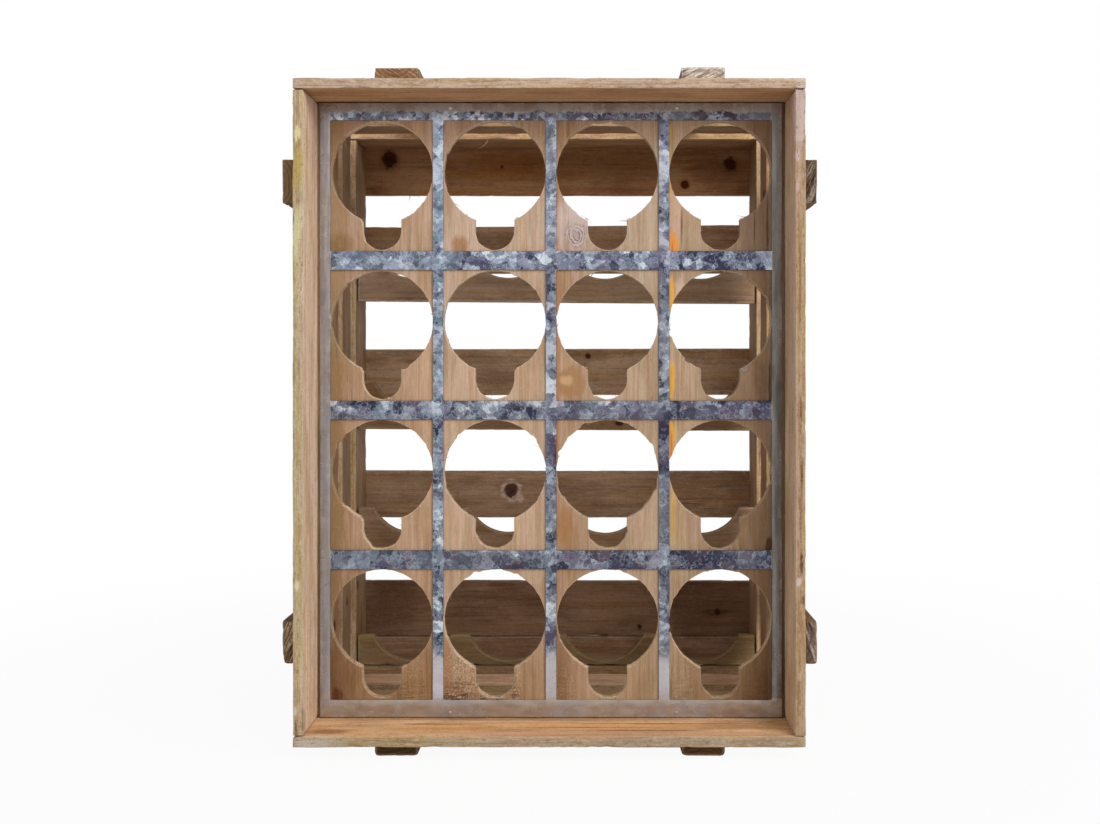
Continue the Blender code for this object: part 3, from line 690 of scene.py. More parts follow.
def pierced_cell(outer, inner, side, free, front, back, soft, face_steps, wall_steps):
    """One cell of a pierced board or sheet. Its rows start at the outer edge's wall, cross the front
    to the hole, go through the hole's wall and come back across the rear. free says which of the
    four sides lie on the board's edge: only they have an outer wall."""
    outward = np.array([(0, -1), (1, 0), (0, 1), (-1, 0)], dtype=float)
    free = np.array(free, dtype=float)
    before = np.roll(side, 1)
    corner = before != side
    out = outward[side] * free[side][:, None] + corner[:, None] * outward[before] * free[before][:, None]
    to_hole = inner - outer
    to_hole /= np.linalg.norm(to_hole, axis=1)[:, None]
    start = outer - out * soft
    rim = inner - to_hole * soft
    share = (1 - np.cos(np.linspace(0, np.pi / 2, face_steps + 1)))[:, None, None]
    share = 1 - share[::-1]
    across = start[None] + (rim - start)[None] * share
    rows = [outer[None], outer[None], across]
    levels = [[back - soft], [front + soft], np.full(face_steps + 1, front)]
    depth = np.linspace(front + soft, back - soft, wall_steps + 1)
    rows += [np.repeat(inner[None], wall_steps + 1, axis=0), across[::-1], outer[None]]
    levels += [depth, np.full(face_steps + 1, back), [back - soft]]
    flat = np.concatenate(rows)
    level = np.concatenate(levels)
    count, columns = len(level), len(outer)
    points = np.empty((count, columns, 3))
    points[..., 0] = flat[..., 0]
    points[..., 1] = level[:, None]
    points[..., 2] = flat[..., 1]
    outward3 = np.zeros_like(points)
    outward3[[0, 1, -1], :, 0] = out[:, 0]
    outward3[[0, 1, -1], :, 2] = out[:, 1]
    outward3[2:face_steps + 3, :, 1] = -1
    outward3[-face_steps - 2:-1, :, 1] = 1
    wall = slice(face_steps + 3, face_steps + wall_steps + 4)
    outward3[wall, :, 0] = to_hole[:, 0]
    outward3[wall, :, 2] = to_hole[:, 1]
    keep = np.ones((count - 1, columns), dtype=bool)
    keep[[0, 1, -1]] = free[side] > 0
    return points, outward3, keep, wall


def join_cells(cells):
    """The points, outward directions and faces of several pierced cells, as those of one piece."""
    faces = []
    total = 0
    for points, _, keep, _ in cells:
        faces.append(grid_faces(*points.shape[:2], keep) + total)
        total += points.shape[0] * points.shape[1]
    points, outward = (np.concatenate([cell[part].reshape(-1, 3) for cell in cells]) for part in (0, 1))
    return points, outward, np.concatenate(faces)


plank_wood = fir(
    "plank_wood", pale=paint(196, 162, 132), dark=paint(156, 118, 84), bleached=paint(230, 204, 172),
    end=paint(186, 150, 112), knot=paint(210, 184, 170), ring_depth=0.22, ring_pitch=0.0042, streaks=0.55,
    patches=0.35, specks=0.12, flecks=0.22, mottle=0.50, cracks=0.30, grit=0.05, edge_bleach=0.90,
    rim_pale=0.9, knot_rings=3.2, knot_lines=1.0, knot_length=1.1, roughness=0.74,
    torn_spots=on_face(-0.098, 0.02, [
        ((-0.122, 0.052), (0.018, 0.040), 0.45),
        ((-0.076, 0.062), (0.020, 0.034), 0.90),
        ((-0.084, 0.040), (0.020, 0.012), 1.00),
        ((-0.052, 0.036), (0.022, 0.007), 1.00),
        ((-0.032, 0.052), (0.007, 0.022), 0.80),
        ((0.012, 0.044), (0.016, 0.032), 0.30),
        ((0.116, 0.050), (0.016, 0.034), 0.28),
        ((0.182, 0.056), (0.014, 0.030), 0.28),
    ]),
    stains=on_face(-0.098, 0.02, [
        ((-0.193, 0.40), (0.0150, 0.26), paint(172, 138, 98), 0.75, 0.25),
        ((-0.194, 0.20), (0.0130, 0.20), paint(150, 116, 76), 0.65, 0.3),
        ((-0.188, 0.060), (0.022, 0.045), paint(128, 88, 48), 0.5),
        ((-0.188, 0.042), (0.007, 0.008), paint(112, 62, 34), 0.9),
        ((-0.084, 0.044), (0.018, 0.014), paint(134, 84, 54), 0.7),
        ((-0.092, 0.070), (0.008, 0.030), paint(168, 112, 72), 0.6),
        ((-0.082, 0.036), (0.026, 0.009), paint(118, 70, 44), 0.75),
        ((0.1090, 0.465), (0.0090, 0.034), paint(214, 166, 134), 0.60),
        ((0.1035, 0.490), (0.0030, 0.034), paint(224, 166, 70), 0.85),
        ((0.1060, 0.438), (0.0050, 0.016), paint(232, 142, 56), 0.95, 0.5),
        ((0.1110, 0.436), (0.0026, 0.010), paint(226, 150, 70), 0.8, 0.5),
        ((0.1055, 0.396), (0.0052, 0.018), paint(232, 162, 66), 0.95, 0.5),
        ((0.1125, 0.398), (0.0050, 0.016), paint(222, 182, 154), 0.7),
        ((0.1050, 0.320), (0.0042, 0.022), paint(236, 164, 58), 0.95, 0.5),
        ((0.1150, 0.452), (0.0013, 0.022), paint(112, 66, 40), 0.85),
        ((0.1195, 0.470), (0.0040, 0.015), paint(196, 150, 118), 0.6),
        ((0.1035, 0.535), (0.0036, 0.030), paint(222, 160, 62), 0.85),
        ((0.1020, 0.300), (0.0040, 0.12), paint(168, 108, 54), 0.6),
        ((0.1100, 0.272), (0.0022, 0.016), paint(206, 186, 120), 0.6),
        ((0.1048, 0.266), (0.0044, 0.026), paint(240, 158, 62), 0.95, 0.5),
        ((0.1060, 0.260), (0.0012, 0.014), paint(198, 104, 48), 0.75),
        ((0.1032, 0.276), (0.0010, 0.010), paint(206, 128, 40), 0.75),
        ((0.1068, 0.432), (0.0010, 0.012), paint(204, 96, 52), 0.70),
        ((0.1070, 0.203), (0.0048, 0.030), paint(206, 160, 84), 0.7),
        ((0.1948, 0.1712), (0.0070, 0.0105), paint(96, 52, 20), 0.95, 0.4),
        ((0.0050, 0.36), (0.0040, 0.16), paint(190, 122, 58), 0.6),
        ((0.0080, 0.07), (0.0120, 0.04), paint(128, 88, 54), 0.5),
        ((-0.080, 0.438), (0.0100, 0.010), paint(150, 100, 54), 0.8),
        ((-0.186, 0.438), (0.0160, 0.014), paint(144, 104, 60), 0.7),
        ((0.172, 0.458), (0.0200, 0.036), paint(150, 118, 92), 0.50),
        ((0.1790, 0.452), (0.0009, 0.024), paint(104, 72, 48), 0.8),
        ((0.1905, 0.458), (0.0016, 0.034), paint(98, 66, 42), 0.8),
        ((0.020, 0.560), (0.0060, 0.010), paint(150, 120, 80), 0.5),
        ((0.020, 0.456), (0.0210, 0.038), paint(228, 203, 190), 0.78),
        ((0.0175, 0.3170), (0.0150, 0.016), paint(172, 126, 80), 0.8, 0.4),
        ((0.0130, 0.3190), (0.0075, 0.006), paint(222, 178, 132), 0.7),
        ((0.0110, 0.1900), (0.0130, 0.024), paint(172, 120, 68), 0.75),
        ((0.1850, 0.3150), (0.0090, 0.030), paint(146, 110, 80), 0.6),
        ((0.1925, 0.3150), (0.0014, 0.030), paint(90, 56, 34), 0.8),
    ]))

# Each plank's tone near its left edge and near its right edge, as factors of red, green and blue,
# and how dirty its foot is there. The last plank's dark right edge is painted shade from the right
# side board
PLANK_TONES = (
    ((0.87, 0.88, 0.92, 0.75), (1.09, 1.13, 1.22, 1.00)),
    ((1.13, 1.22, 1.36, 0.50), (1.08, 1.18, 1.30, 0.70)),
    ((0.91, 0.91, 0.93, 0.30), (0.98, 1.10, 1.20, 0.30)),
    ((0.98, 1.07, 1.15, 0.35), (0.60, 0.59, 0.57, 1.10)),
)

# The share of red, green and blue that a dirty foot loses, that the planks gain half way up, and
# that they lose again at their heads as painted shade under the top board
FOOT_GRIME = np.array((0.40, 0.48, 0.62))
UPPER_PALE = np.array((0.00, 0.04, 0.10))
HEAD_PAINTED_SHADE = np.array((0.10, 0.19, 0.28))

PLANK_STEP = 0.0013
PLANK_PITH = 0.07
PLANK_KNOTS = ((), (), ((0.447, 0.022, 0.0090),), ((0.330, 0.170, 0.003),))
for column in range(1, 5):
    node = f"keyhole_plank_{column}"
    low, high = corners(node)
    seed = zlib.crc32(node.encode()) % 100000
    cells, rims, walls = [], [], []
    shared_x = None
    for row in range(1, 5):
        centre = hole_centre(row, column)
        cell_low = np.array([low[0], low[2] if row == 4 else centre[1] - CELL_BELOW])
        cell_top = high[2] if row == 1 else hole_centre(row - 1, column)[1] - CELL_BELOW
        cell_high = np.array([high[0], cell_top])

        # The notch's corners and the ends of its straight walls are met exactly. The upper side
        # takes its places from the cell above, so that the two cells fit.
        below = centre[1] - cell_low[1]
        shoulder = NOTCH_RADIUS / NOTCH_CORNER_DROP
        wall_end = NOTCH_RADIUS / NOTCH_DROP
        exact = [centre[0] + sign * below * slope for sign in (-1, 1) for slope in (shoulder, wall_end)]
        lower_x = side_places(cell_low[0], cell_high[0], PLANK_STEP, exact)
        upper_x = side_places(cell_low[0], cell_high[0], PLANK_STEP) if shared_x is None else shared_x
        shared_x = lower_x
        outer, side = cell_outline(cell_low, cell_high, lower_x, upper_x, PLANK_STEP)
        direction = outer - centre
        direction /= np.linalg.norm(direction, axis=1)[:, None]
        reach = keyhole_reach(direction)

        # The rim is sawn unevenly, and chipped, most of all at the notch's corners
        on_rim = centre + direction * reach[:, None]
        notch_corners = centre + np.array([(-NOTCH_RADIUS, -NOTCH_CORNER_DROP),
                                           (NOTCH_RADIUS, -NOTCH_CORNER_DROP)])
        spots = np.column_stack([on_rim, np.full(len(on_rim), 0.1 * row)])
        off_corner = np.linalg.norm(on_rim[:, None] - notch_corners, axis=-1).min(axis=-1)
        reach = reach + 0.00022 * (1 + lattice_noise(spots, 0.0026, seed + 5))
        reach += 0.0032 * np.maximum(lattice_noise(spots, 0.0075, seed + 6) - 0.35, 0.0)
        chipped = np.maximum(lattice_noise(spots, 0.0032, seed + 7) + 0.1, 0)
        reach += 0.0022 * np.exp(-off_corner / 0.004) * chipped
        inner = centre + direction * reach[:, None]

        free = (row == 4, True, row == 1, True)
        cell = pierced_cell(outer, inner, side, free, PLANK_FRONT, PLANK_BACK, PLANK_SOFT, 9, 4)
        points, _, _, wall = cell
        cells.append(cell)
        to_rim = np.linalg.norm(points[..., ::2] - inner, axis=-1)
        rims.append(np.exp(-to_rim / 0.0011).reshape(-1))
        on_wall = np.zeros(points.shape[:2])
        on_wall[wall] = 1
        walls.append(on_wall.reshape(-1))
    flat, outward, faces = join_cells(cells)
    rims = np.concatenate(rims)
    walls = np.concatenate(walls)
    depth = 0.00005 * (1 + lattice_noise(flat, 0.003, seed))
    depth += 0.00008 * (1 + lattice_noise(flat, 0.05, seed + 1))
    saw = np.maximum(lattice_noise(flat, 0.0035, seed + 2) - 0.1, 0.0)
    chips = np.maximum(lattice_noise(flat, 0.009, seed + 3) - 0.35, 0.0)
    depth += walls * (0.00035 * saw + 0.0008 * chips)
    worn = flat - outward * depth[:, None]

    # The tone passes from the left edge's to the right edge's. The holes' walls have half of it, raised
    # towards a paler constant, partly paler sawn wood and partly painted light, and above the lowest row
    # less light, as painted shade.
    rightness = np.clip((flat[:, 0] - low[0]) / (high[0] - low[0]) * 1.25 - 0.125, 0.0, 1.0)
    left, right = np.array(PLANK_TONES[column - 1])
    here = left + (right - left) * rightness[:, None]
    dirty = here[:, 3:] * np.interp(flat[:, 2], (0.053, 0.187, 0.318), (1.0, 0.1, 0.0))[:, None]
    upper = np.interp(flat[:, 2], (0.318, 0.451), (0.0, 1.0))[:, None]
    # Towards the planks' heads: painted shade under the top board
    head = np.interp(flat[:, 2], (0.451, 0.560), (0.0, 1.0))[:, None]
    tone = here[:, :3] * (1 - dirty * FOOT_GRIME) * (1 + upper * UPPER_PALE) * (1 - head * HEAD_PAINTED_SHADE)
    wall_painted_light = np.interp(flat[:, 2], (0.150, 0.170), (1.0, 0.98 if column == 1 else 0.76))[:, None]

    plank_random = np.random.default_rng(seed)
    middle = (low + high) / 2
    grain = np.column_stack([
        flat[:, 2] + plank_random.uniform(0, 9),
        flat[:, 0] - middle[0] + plank_random.uniform(-0.02, 0.02),
        flat[:, 1] - middle[1] + PLANK_PITH])
    marks = {
        "grain": grain,
        "knot": nearest_knot(flat[:, 2], flat[:, 0], PLANK_KNOTS[column - 1]),
        "finish": np.column_stack([rims * 0.55, walls, 0 * walls]),
        "tone": np.where(walls[:, None] > 0, (0.5 * tone + 0.55) * wall_painted_light, tone),
    }
    plank = close_piece("dressed_" + node, worn, faces, marks, plank_wood)
    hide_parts(node)


# Cradle rails
# Four fir rails near the back, one to a row, nailed through the rear side boards. Each has four
# round seats sawn out of its upper edge, where the bodies of the bottles lie.

CRADLE_RADIUS = 0.0430
CRADLE_DEPTH = 0.0269
CRADLE_REACH = np.arccos((CRADLE_RADIUS - CRADLE_DEPTH) / CRADLE_RADIUS)
SEAT_HALF_WIDTH = CRADLE_RADIUS * np.sin(CRADLE_REACH)
rail_wood = fir(
    "rail_wood", pale=paint(216, 182, 150), dark=paint(148, 114, 86), bleached=paint(224, 196, 162),
    end=paint(140, 108, 78), knot=KNOT_BROWN, ring_depth=0.2, streaks=0.30, patches=0.5, mottle=0.9,
    grit=0.15, edge_bleach=0.7, rim_pale=1.0, sawn=0.3,
    stains=[((0.120, 0.095, 0.045), (0.120, 0.05, 0.030), paint(150, 114, 82), 0.40)])
RAIL_TONES = ((0.72, 0.74, 0.78), (0.50, 0.45, 0.40), (0.60, 0.58, 0.56), (0.57, 0.58, 0.46))
RAIL_KNOTS = ((), ((0.065, 0.272, 0.003),), (), ())

# The rails aren't quite even: how far the seats rise to the left, and how far the lower edges sink
# to the right
SEAT_LIFTS = (0.0012, 0.0, 0.0014, 0.0)
RAIL_SINKS = ((0.0, 0.0025), (0.0003, 0.0021), (0.0, 0.0), (0.0, 0.0))
for number in range(1, 5):
    node = f"cradle_rail_{number}"
    rail_low, rail_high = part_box(node)
    seats = np.array([hole_centre(number, column)[0] for column in range(1, 5)])

    def rail_top(x):
        """The height of the rail's upper edge: flat, and in a seat the lower half of a circle."""
        away = np.min(np.abs(np.asarray(x)[:, None] - seats[None, :]), axis=1)
        fall = np.sqrt(np.maximum(CRADLE_RADIUS ** 2 - away ** 2, 0.0))
        arc = rail_high[2] - CRADLE_DEPTH + CRADLE_RADIUS - fall
        arc = arc + SEAT_LIFTS[number - 1] * np.interp(x, (-0.17, -0.055, 0.05), (1.0, 0.7, 0.0))
        return np.minimum(arc, rail_high[2])

    def rail_bottom(x):
        """The height of the rail's lower edge: the node's, less a sink that grows evenly with x."""
        return rail_low[2] - np.interp(x, (-0.18, 0.19), RAIL_SINKS[number - 1])

    arcs = seats[:, None] + CRADLE_RADIUS * np.sin(np.linspace(-CRADLE_REACH, CRADLE_REACH, 45))[None, :]
    flats = np.arange(rail_low[0], rail_high[0], 0.003)
    flats = flats[np.min(np.abs(flats[:, None] - seats[None, :]), axis=1) > SEAT_HALF_WIDTH]
    stations = np.sort(np.concatenate([arcs.ravel(), flats]))
    sawn_board(node, 0, 2, rail_wood, RAIL_TONES[number - 1], wear=1.2, pith=0.03,
               knots=RAIL_KNOTS[number - 1], stations=stations, upper=rail_top, lower=rail_bottom)


# Back slats
# Six fir slats nailed across the back, one behind each row of bottles and one at each end. They are
# darker than the crate, with knots, and the two lowest lie edge to edge.

slat_wood = fir(
    "slat_wood", pale=paint(208, 176, 148), dark=paint(130, 98, 72), bleached=paint(214, 194, 168),
    end=paint(110, 84, 60), knot=paint(76, 24, 6), ring_depth=0.22, ring_pitch=0.0046, streaks=0.35,
    patches=0.5, mottle=0.9, specks=0.4, grit=0.14, edge_bleach=0.4, sawn=0.2, cracks=0.7, roughness=0.85,
    knot_length=0.85,
    stains=on_face(0.145, 0.02, [
        ((-0.180, 0.552), (0.0120, 0.018), paint(150, 96, 64), 0.7),
        ((0.137, 0.527), (0.0110, 0.012), paint(206, 160, 112), 0.7),
        ((0.170, 0.066), (0.0200, 0.005), paint(66, 44, 30), 0.8),
        ((0.150, 0.080), (0.0500, 0.060), paint(122, 84, 54), 0.7),
        ((-0.175, 0.085), (0.0350, 0.060), paint(140, 104, 78), 0.7),
        ((-0.0502, 0.1964), (0.0122, 0.0122), paint(255, 232, 210), 1.0, 0.30),
        ((-0.0400, 0.1880), (0.0040, 0.0060), paint(250, 220, 196), 0.8),
        ((-0.0545, 0.0190), (0.0120, 0.0040), paint(236, 200, 176), 0.7),
        ((-0.0550, 0.0195), (0.0085, 0.0020), paint(84, 48, 30), 0.9, 0.4),
        ((0.165, 0.540), (0.0350, 0.030), paint(120, 78, 44), 0.45),
        ((0.050, 0.041), (0.0070, 0.003), paint(76, 50, 34), 0.7),
        ((0.04, 0.545), (0.14, 0.020), paint(150, 112, 62), 0.5),
        ((-0.06, 0.545), (0.070, 0.025), paint(176, 116, 40), 0.5),
        ((-0.02, 0.516), (0.20, 0.006), paint(206, 150, 100), 0.5),
        ((-0.165, 0.530), (0.045, 0.025), paint(216, 184, 160), 0.6),
        ((0.125, 0.538), (0.012, 0.010), paint(206, 188, 166), 0.45),
    ]))
SLAT_TONES = ((0.86, 0.72, 0.54), (1.02, 0.98, 0.93), (1.12, 1.16, 1.14), (0.95, 0.94, 0.92),
              (0.66, 0.61, 0.57), (0.90, 0.84, 0.82))
SLAT_KNOTS = (
    ((-0.1805, 0.5526, 0.0094), (0.137, 0.5260, 0.0050), (0.186, 0.548, 0.0080), (-0.060, 0.545, 0.002)),
    ((-0.090, 0.470, 0.004),), ((0.033, 0.3415, 0.0035),), ((-0.0502, 0.1964, 0.0086),),
    ((0.0887, 0.050, 0.0030), (0.172, 0.066, 0.0035)), ())

# No slat is quite straight: how far its upper and lower edges stand above the node's, in
# millimetres, at three places from left to right
SLAT_PLACES = (-0.19, -0.07, 0.19)
SLAT_EDGES = (((0.0, 0.0, 0.0), (-0.6, -0.6, -0.7)), ((0.4, 0.9, 2.7), (-2.0, -1.2, -0.9)),
              ((0.3, 0.6, 1.2), (-3.4, -0.6, -0.3)), ((1.2, 0.7, 0.8), (-0.8, -0.9, -1.0)),
              ((-0.9, -1.2, -1.6), (0.0, 0.0, 0.0)), ((0.0, 0.0, 0.0), (0.0, 0.0, 0.0)))
for number, (tone, knots, edges) in enumerate(zip(SLAT_TONES, SLAT_KNOTS, SLAT_EDGES), start=1):
    slat_low, slat_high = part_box(f"back_slat_{number}")

    def slat_top(x):
        """The height of the slat's upper edge: the node's, and what it is off straight."""
        return slat_high[2] + 0.001 * np.interp(x, SLAT_PLACES, edges[0])

    def slat_bottom(x):
        """The height of the slat's lower edge, in the same way."""
        return slat_low[2] + 0.001 * np.interp(x, SLAT_PLACES, edges[1])

    sawn_board(f"back_slat_{number}", 0, 2, slat_wood, tone, wear=1.4, pith=0.06,
               knots=knots, upper=slat_top, lower=slat_bottom)


# Splinters
# Fibres of wood that the saw left hanging: short fine ones round the keyholes, most of them by the
# notches, and a few under the slats and the rear top board. Each wears the finish of the board it
# grows from.

SPLINTER_SIDES = 4
splinter_random = np.random.default_rng(11)


def splinters(name, roots, ways, lengths, widths, shades, look):
    """Tapered bent fibres. Point = root + way * length * t + sag * length * t^2, and round it a ring
    of radius width * (1 - t)^0.7, which closes to a point. A shade says how light a fibre is."""
    t = np.linspace(0.0, 1.0, 6)
    count = len(roots)
    sag = splinter_random.normal(0, 0.35, (count, 3)) + (0, 0, -0.25)
    bent = ways[:, None] * t[:, None] + sag[:, None] * t[:, None] ** 2
    line = roots[:, None] + bent * lengths[:, None, None]
    first = np.cross(ways, splinter_random.normal(0, 1, (count, 3)))
    first /= np.linalg.norm(first, axis=1)[:, None]
    second = np.cross(ways, first)
    turn = np.arange(SPLINTER_SIDES) / SPLINTER_SIDES * 2 * np.pi
    ring = np.cos(turn)[None, :, None] * first[:, None] + np.sin(turn)[None, :, None] * second[:, None]
    radius = widths[:, None] * (1 - t) ** 0.7
    points = (line[:, :, None] + ring[:, None] * radius[:, :, None, None]).reshape(-1, 3)
    one = grid_faces(len(t), SPLINTER_SIDES)
    faces = (one[None] + np.arange(count)[:, None, None] * len(t) * SPLINTER_SIDES).reshape(-1, 4)
    marks = {
        "grain": points,
        "knot": np.tile((1.0, 0.0, 0.005), (len(points), 1)),
        "finish": np.tile((0.6, 0.6, 0.0), (len(points), 1)),
        "tone": np.repeat(shades, len(t) * SPLINTER_SIDES)[:, None] * np.array([(1.0, 0.90, 0.80)]),
    }
    piece = close_piece(name, points, faces, marks, look)


rim_roots, rim_ways = [], []
for row in range(1, 5):
    for column in range(1, 5):
        angles = np.concatenate([
            splinter_random.normal(-1.17, 0.10, 5), splinter_random.normal(-1.97, 0.10, 5),
            splinter_random.uniform(-3.1, 0.0, 7), splinter_random.uniform(0.0, 3.1, 3)])
        out = np.column_stack([np.cos(angles), np.sin(angles)])
        on_rim = hole_centre(row, column) + out * (keyhole_reach(out) + 0.0004)[:, None]
        level = splinter_random.uniform(PLANK_FRONT + 0.0006, PLANK_BACK - 0.0006, len(angles))
        rim_roots.append(np.column_stack([on_rim[:, 0], level, on_rim[:, 1]]))
        sense = splinter_random.choice([-1, 1], len(angles))[:, None]
        along_rim = np.column_stack([-out[:, 1], out[:, 0]]) * sense
        rim_ways.append(np.column_stack([along_rim[:, 0], 0 * level, along_rim[:, 1]])
                        - np.column_stack([out[:, 0], 0 * level, out[:, 1]]) * 0.6)
rim_roots = np.concatenate(rim_roots)
rim_ways = np.concatenate(rim_ways)
rim_lengths = 0.0010 + 0.0042 * splinter_random.uniform(0.0, 1.0, len(rim_roots)) ** 2.5
splinters("keyhole_splinters", rim_roots, rim_ways, rim_lengths,
          splinter_random.uniform(0.00014, 0.00036, len(rim_roots)),
          splinter_random.uniform(0.35, 0.75, len(rim_roots)), plank_wood)

# Two long fibres, under the top slat and under the rear top board, and then seven to a slat
slat_roots = [(-0.159, 0.146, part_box("back_slat_1")[0][2] + 0.0004),
              (-0.0705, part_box("rear_ring_top")[0][1] + 0.004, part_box("rear_ring_top")[0][2] + 0.0004)]
slat_ways = [(0.15, 0.0, -1.0), (-0.40, 0.0, -1.0)]
for number in range(1, 5):
    low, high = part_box(f"back_slat_{number}")
    for x in splinter_random.uniform(low[0] + 0.05, high[0] - 0.05, 7):
        slat_roots.append((x, low[1] + 0.001, low[2] + 0.0004))
        slat_ways.append((splinter_random.uniform(-1, 1), 0.0, -0.6))
slat_roots = np.array(slat_roots)
slat_ways = np.array(slat_ways)
slat_lengths = splinter_random.uniform(0.0015, 0.0040, len(slat_roots))
slat_widths = splinter_random.uniform(0.00012, 0.00030, len(slat_roots))
slat_shades = np.full(len(slat_roots), 0.6)
slat_lengths[:2] = 0.0050, 0.0130
slat_widths[:2] = 0.00050, 0.00036
# The first fibre is darkened as painted shade, and the second made bright as painted light, as if lit from
# behind
slat_shades[:2] = 0.3, 2.2
splinters("slat_splinters", slat_roots, slat_ways, slat_lengths, slat_widths, slat_shades,
          slat_wood)


# Steel grid
# One sheet of galvanised steel with sixteen punched windows, held by four pins. The zinc's large
# crystals, or spangles, run on over uprights and crossbars, and each throws the light its own way.

UPRIGHT_WIDTH = 0.0093
SIDE_BORDER = 0.0090
CROSSBAR_HEIGHT = 0.0166
END_BORDER = 0.0153
WINDOW_CORNER = 0.0007
SHEET_SOFT = 0.00025        # how far the sheet's sharp edges are drawn in
COARSE_CRYSTAL = 0.0200
CRYSTAL = 0.0095
FINE_CRYSTAL = 0.0040
sheet_low, sheet_high = corners("steel_grid")
window_width = (sheet_high[0] - sheet_low[0] - 2 * SIDE_BORDER - 3 * UPRIGHT_WIDTH) / 4
window_height = (sheet_high[2] - sheet_low[2] - 2 * END_BORDER - 3 * CROSSBAR_HEIGHT) / 4
cell_x = [sheet_low[0]] + [sheet_low[0] + SIDE_BORDER + k * window_width + (k - 0.5) * UPRIGHT_WIDTH
                           for k in (1, 2, 3)] + [sheet_high[0]]
cell_z = [sheet_low[2]] + [sheet_low[2] + END_BORDER + k * window_height + (k - 0.5) * CROSSBAR_HEIGHT
                           for k in (1, 2, 3)] + [sheet_high[2]]


def window_outline(low, high, lower_count, rise_count):
    """A window's outline with as many places on each side as its cell has, and small round corners:
    within a corner's reach the places lie on its arc."""
    across = np.linspace(low[0], high[0], lower_count)
    points = rectangle(low, high, across, across, np.linspace(low[1], high[1], rise_count))
    middle = (low + high) / 2
    reach = (high - low) / 2 - WINDOW_CORNER
    beyond = np.abs(points - middle) - reach
    in_corner = np.all(beyond > 0, axis=1)
    arc = beyond / np.linalg.norm(beyond, axis=1)[:, None] * WINDOW_CORNER
    pulled = middle + np.sign(points - middle) * (reach + arc)
    return np.where(in_corner[:, None], pulled, points)


# Where the zinc is brighter or duller: from and to across, from and to up, and by how much on the
# uprights and on the crossbars
SHEET_AREAS = (
    (-0.25, 0.07, 0.415, 0.62, 0.06, 0.00), (0.05, 0.25, 0.415, 0.62, 0.11, 0.00),
    (-0.25, 0.07, 0.155, 0.305, -0.04, 0.00), (0.05, 0.25, 0.155, 0.305, -0.24, 0.00),
    (-0.25, 0.25, 0.030, 0.165, -0.06, 0.00), (-0.11, 0.01, 0.050, 0.62, 0.00, 0.06),
    (-0.21, 0.11, 0.405, 0.47, 0.00, 0.03), (0.09, 0.25, 0.050, 0.62, 0.00, -0.07),
    (0.09, 0.25, 0.405, 0.47, 0.00, -0.07), (0.00, 0.25, 0.525, 0.62, 0.00, -0.07),
    (0.05, 0.25, 0.030, 0.165, -0.05, 0.00), (-0.11, 0.01, 0.140, 0.22, 0.00, 0.04),
    (-0.12, -0.08, 0.455, 0.59, 0.06, 0.00), (0.075, 0.12, 0.315, 0.43, 0.05, 0.00),
    (0.075, 0.12, 0.180, 0.29, -0.04, 0.00),
)


